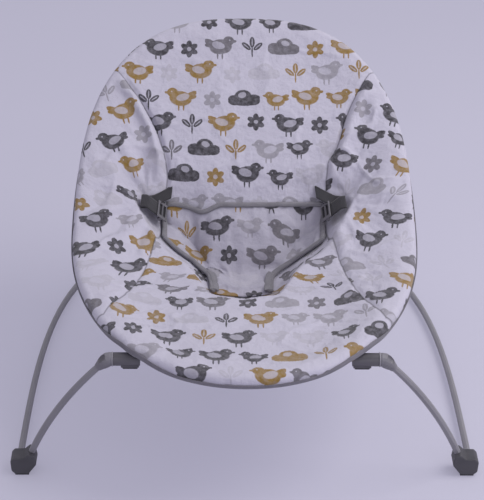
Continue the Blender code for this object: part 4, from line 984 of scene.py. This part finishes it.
# The panel's outline on the cover: half widths by place along the seat, and its top edge by x.
PANEL_LEFT = (
    (-0.05, 0.041), (-0.03, 0.041), (-0.014, 0.043), (-0.008, 0.052), (-0.003, 0.066), (0.002, 0.081),
    (0.007, 0.095), (0.012, 0.102), (0.056, 0.103),
)
PANEL_RIGHT = (
    (-0.05, 0.034), (-0.025, 0.034), (-0.012, 0.036), (-0.006, 0.043), (-0.002, 0.054), (0.002, 0.072),
    (0.006, 0.09), (0.011, 0.101), (0.056, 0.103),
)
PANEL_TOP = (
    (-0.106, 0.057), (-0.085, 0.059), (-0.067, 0.0565), (-0.049, 0.05), (-0.039, 0.0535), (-0.029, 0.0565),
    (0.001, 0.0565), (0.041, 0.057), (0.07, 0.06), (0.095, 0.059), (0.106, 0.054),
)
PANEL_BOTTOM = -0.043
PANEL_SHOULDER = 0.052
PANEL_COLUMNS = 60
PANEL_ROWS = 44
PRINT_PANEL = (0.2307, 0.143)


def panel_place(share, row):
    """Where a point of the panel lies on the cover: share from -1 to 1 across, row from 0 to 1 up."""
    s = PANEL_BOTTOM + (PANEL_SHOULDER - PANEL_BOTTOM) * row
    half = np.where(share < 0, smooth_table(PANEL_LEFT, s), smooth_table(PANEL_RIGHT, s))
    x = share * half
    top = smooth_table(PANEL_TOP, x) - PANEL_SHOULDER
    return x, s + top * clamp((row - 0.45) / 0.55)


def on_cover(x, s, lift):
    return cover_point(x, s) + cover_normal(x, s) * np.asarray(lift)[..., None]


def make_panel():
    """Two printed faces with a filling between them, which the settling blows up, pleated at the top."""
    share, row = np.meshgrid(np.linspace(-1, 1, PANEL_COLUMNS + 1), np.linspace(0, 1, PANEL_ROWS + 1))
    x, s = panel_place(share, row)
    edge = np.minimum(np.minimum(1 - np.abs(share), 0.999) * 8.0, np.minimum(row, 1 - row) * 6.0)
    crown = clamp(edge) ** 0.5
    pleat = noise(x * 95.0, s * 18.0, 41) * 0.0009 + noise(x * 40.0, s * 16.0, 42) * 0.0014
    pleat += noise(x * 130.0, s * 9.0, 43) * 0.0016 * bell(row, 0.9, 0.22)
    top = on_cover(x, s, 0.0022 + 0.0036 * crown + pleat * crown).reshape(-1, 3)
    bottom = on_cover(x, s, 0.0010).reshape(-1, 3)
    faces = shell_faces(*share.shape)
    item = mesh_object("padded_waist_panel", np.vstack([top, bottom]), faces, SHADED_PANEL_PRINT)
    line = np.linspace(PANEL_BOTTOM - 0.01, 0.08, 200)
    run = lengths_along(cover_point(line * 0, line))
    uv = np.column_stack([x.ravel(), np.interp(s.ravel(), line, run)]) + PRINT_PANEL
    put_uv(item, "middle", np.vstack([uv, uv]))
    hold = np.ones(2 * share.size)
    hold[:share.size] = 1.0 - 0.97 * clamp(edge.ravel() * 1.4)
    settle(
        item, hold, frames=16, cap=0.006,
        use_pressure=True, uniform_pressure_force=3.0, quality=5, mass=0.2,
        tension_stiffness=18.0, compression_stiffness=12.0, shear_stiffness=6.0, bending_stiffness=0.6,
        shrink_min=-0.05,
    )
    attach(item, "seat")
    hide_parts("waist_panel")


make_panel()


def edge_tape(name, chain, half_width, half_height, lift, count=90):
    """A piping or tape sewn along a chain of places on the panel."""
    chain = smooth_path(chain, count)
    path = above_cover(on_cover(chain[:, 0], chain[:, 1], lift), half_height)
    wide, normal = frames_on(path, cover_normal(chain[:, 0], chain[:, 1]))
    item = tube_on_path(name, path, wide, normal, half_width, half_height, PIPING)
    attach(item, "seat")


top = [panel_place(share, 1.0) for share in np.linspace(-1.0, 1.0, 40)]
edge_tape("panel_top_binding", top, half_width=0.0032, half_height=0.0024, lift=0.0040)
for label, side in (("right", -1.0), ("left", 1.0)):
    edge = [panel_place(side, row) for row in np.linspace(0.97, 0.0, 40)]
    edge_tape(f"panel_side_binding_{label}", edge, half_width=0.0039, half_height=0.0024, lift=0.0042)
    stem = [panel_place(0.90 * side, row) for row in np.linspace(0.36, 0.0, 12)]
    edge_tape(f"stem_tape_{label}", stem, half_width=0.0042, half_height=0.0010, lift=0.0066, count=30)

# The straps: their tape, how high they lie, and where they are sewn on, fold over and come back.
STRAP_WIDTH = 0.020
STRAP_THICKNESS = 0.0012
STRAP_GAP = 0.0011
STRAP_RETURN_LIFT = 0.0085
STRAP_LIFT = 0.0026
STRAP_ANCHOR = (0.091, 0.0700)
STRAP_FOLD = (0.1330, 0.0440)
STRAP_FOLD_DEPTH = 0.0025
STRAP_LEVEL = 0.0405
# How far the lower length is drawn straight from where it would lie on the cloth.
STRAP_TAUT = 0.50
PANEL_END = 0.1074
SLING_PROBE = 0.004


def on_solid(x, s, lift):
    """A place on the CAD sling, lifted square to it."""
    above = Vector(on_ring_sheet(x, s, -HEM_RADIUS))
    down = Vector(on_ring_sheet(x, s)) - above
    place = sling_solid.ray_cast(above, down)[0]
    reach = SLING_PROBE
    across = Vector(sling_point(x + reach, s)) - Vector(sling_point(x - reach, s))
    along = Vector(sling_point(x, s + reach)) - Vector(sling_point(x, s - reach))
    return place + across.cross(along).normalized() * lift


def make_strap(label, side):
    """Flat webbing from the seam, folded over and back through the slider."""
    fold_x, fold_s = STRAP_FOLD
    anchor_x, anchor_s = STRAP_ANCHOR
    low = STRAP_LIFT + STRAP_THICKNESS
    high = low + STRAP_RETURN_LIFT
    inner = side * PANEL_END
    near = on_solid(inner, STRAP_LEVEL, high)
    far = on_solid(side * (fold_x - STRAP_FOLD_DEPTH), STRAP_LEVEL, high)
    run = (far - near).normalized()
    up = Vector(sling_point(inner, STRAP_LEVEL + SLING_PROBE)) - Vector(sling_point(inner, STRAP_LEVEL))
    along = (up - run * up.dot(run)).normalized()
    anchor = on_solid(side * anchor_x, anchor_s, low)
    fold = on_solid(side * fold_x, fold_s, low)
    chain = []
    for t in np.linspace(0.0, 0.94, 9):
        x = side * (anchor_x + (fold_x - anchor_x) * t)
        laid = on_solid(x, anchor_s + (fold_s - anchor_s) * t, low)
        chain.append(laid.lerp(anchor.lerp(fold, t), STRAP_TAUT))
    chain.append(on_solid(side * fold_x, (fold_s + STRAP_LEVEL) / 2, (low + high) / 2))
    chain += [far + (near - far) * t for t in np.linspace(0.0, 1.08, 9)]
    centre = smooth_path([list(point) for point in chain], 56, passes=2)
    width = np.tile(np.array(along), (len(centre), 1))
    face = unit(np.cross(unit(np.gradient(centre, axis=0)), width))
    across = np.linspace(-1.0, 1.0, 11)
    # The woven selvedges stand up a little.
    selvedge = 0.00010 * (np.abs(across) > 0.85)
    across = across * (STRAP_WIDTH / 2)
    middle = centre + face * STRAP_THICKNESS / 2
    sheet = above_cover(middle[:, None] + width[:, None] * across[None, :, None], STRAP_GAP)
    points = []
    for way in (1, -1):
        thickness = (STRAP_THICKNESS / 2 + selvedge) * way
        points.append((sheet + face[:, None] * thickness[None, :, None]).reshape(-1, 3))
    faces = shell_faces(len(centre), len(across))
    item = mesh_object(f"strap_webbing_{label}", np.vstack(points), faces, WEBBING)
    length = lengths_along(centre)
    uv = np.stack(np.broadcast_arrays(length[:, None], across[None, :]), -1).reshape(-1, 2)
    put_uv(item, "tape", np.vstack([uv, uv]))
    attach(item, "seat")
    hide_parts(f"webbing_{label}")


sling_solid = surface_of(NODES["seat_sling"].data)
for label, side in (("left", 1), ("right", -1)):
    make_strap(label, side)


def copy_node(node, name, material):
    """A piece with a CAD node's own mesh, for a node that changes shape as its joint moves."""
    item = new_object(name, NODES[node].data.copy())
    item.data.materials.clear()
    item.data.materials.append(material)
    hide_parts(node)
    return item


def make_arm(label):
    """A copy of the wire arm's CAD mesh, baked in place. The real arm bends from the foot upwards; this
    copy is not bent.
    """
    item = copy_node(f"spring_arm_{label}", f"bent_spring_arm_{label}", COAT)
    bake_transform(item)


def make_leaf(label):
    """A copy of the CAD mesh of the leaf spring behind a button, carried with the seat. The real spring is
    pressed flat against the hub as the button goes in; this copy is not pressed.
    """
    item = copy_node(f"lock_spring_{label}", f"leaf_spring_{label}", ZINC)
    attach(item, "seat")
    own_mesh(item)


for label in ("left", "right"):
    make_arm(label)
for label in ("left", "right"):
    make_leaf(label)


# The share of the lamps' light that the camera sees on the floor, and the even glow that is added.
FLOOR_SHADED = 0.50
FLOOR_GLOW = 0.315
FLOOR_HALF = 6.0


def make_stage():
    """A pale floor. Half of what is seen of it is even light, so that the seat's shadow stays as faint as
    on a sheet lit from all round."""
    material, tree, _, _, tone = mottled("pale_floor", "C9C7D5", "CECCDA", 3.0, 2.0)
    seen = add(tree, "LightPath", out="Is Camera Ray")
    shaded = add(tree, "MapRange", (seen, 0.0, 1.0, 1.0, FLOOR_SHADED))
    finish(tree, {
        "Base Color": add(tree, "VectorMath", {0: tone, 3: shaded}, operation="SCALE"),
        "Roughness": 0.95,
        "Specular IOR Level": 0.1,
        "Emission Color": hex_colour("E4E1FC"),
        "Emission Strength": add(tree, "Math", (seen, FLOOR_GLOW), operation="MULTIPLY"),
    })
    corners = [(x * FLOOR_HALF, y * FLOOR_HALF, 0) for x, y in ((-1, -1), (1, -1), (1, 1), (-1, 1))]
    floor = mesh_object("floor", corners, [(0, 1, 2, 3)], material)
    world = bpy.data.worlds.new("pale_room")
    bpy.context.scene.world = world
    world.use_nodes = True
    tree = world.node_tree
    tree.nodes.clear()
    back = add(tree, "Background", {"Color": hex_colour("E6E4F0"), "Strength": 0.72})
    add(tree, "OutputWorld", (back,))


def lamp(name, location, target, size, power, colour):
    data = bpy.data.lights.new(name, "AREA")
    data.shape = "DISK"
    data.size = size
    data.energy = power
    data.color = hex_colour(colour)[:3]
    item = new_object(name, data)
    item.location = location
    item.rotation_euler = (Vector(target) - Vector(location)).to_track_quat("-Z", "Y").to_euler()


CAMERA_TURNS = (-0.78, 27.01, 0.55)
CAMERA_PLACE = (-0.031, FOOT_Y - 1.863, 1.239)
FOCAL_PIXELS = 1900
PHOTO_HEIGHT = 500


def camera():
    """The photograph's view: azimuth, elevation and roll in degrees, and its focal length in pixels."""
    azimuth, elevation, roll = map(math.radians, CAMERA_TURNS)
    data = bpy.data.cameras.new("camera")
    item = new_object("camera", data)
    flat = math.cos(elevation)
    ahead = Vector((-math.sin(azimuth) * flat, math.cos(azimuth) * flat, -math.sin(elevation)))
    turn = ahead.to_track_quat("-Z", "Y").to_matrix()
    turn = Matrix.Rotation(-roll, 3, ahead) @ turn
    item.matrix_world = Matrix.Translation(CAMERA_PLACE) @ turn.to_4x4()
    data.lens = FOCAL_PIXELS / PHOTO_HEIGHT * data.sensor_width
    data.clip_start = 0.1
    bpy.context.scene.camera = item


make_stage()
lamp("key", (1.2, -0.15, 1.7), (0.0, 0.0, 0.15), size=1.3, power=20.0, colour="FFFDFA")
lamp("fill", (1.2, -1.7, 1.0), (0.0, -0.3, 0.0), size=2.0, power=7.0, colour="F3F3FF")
camera()
bpy.context.scene.view_settings.view_transform = "Standard"
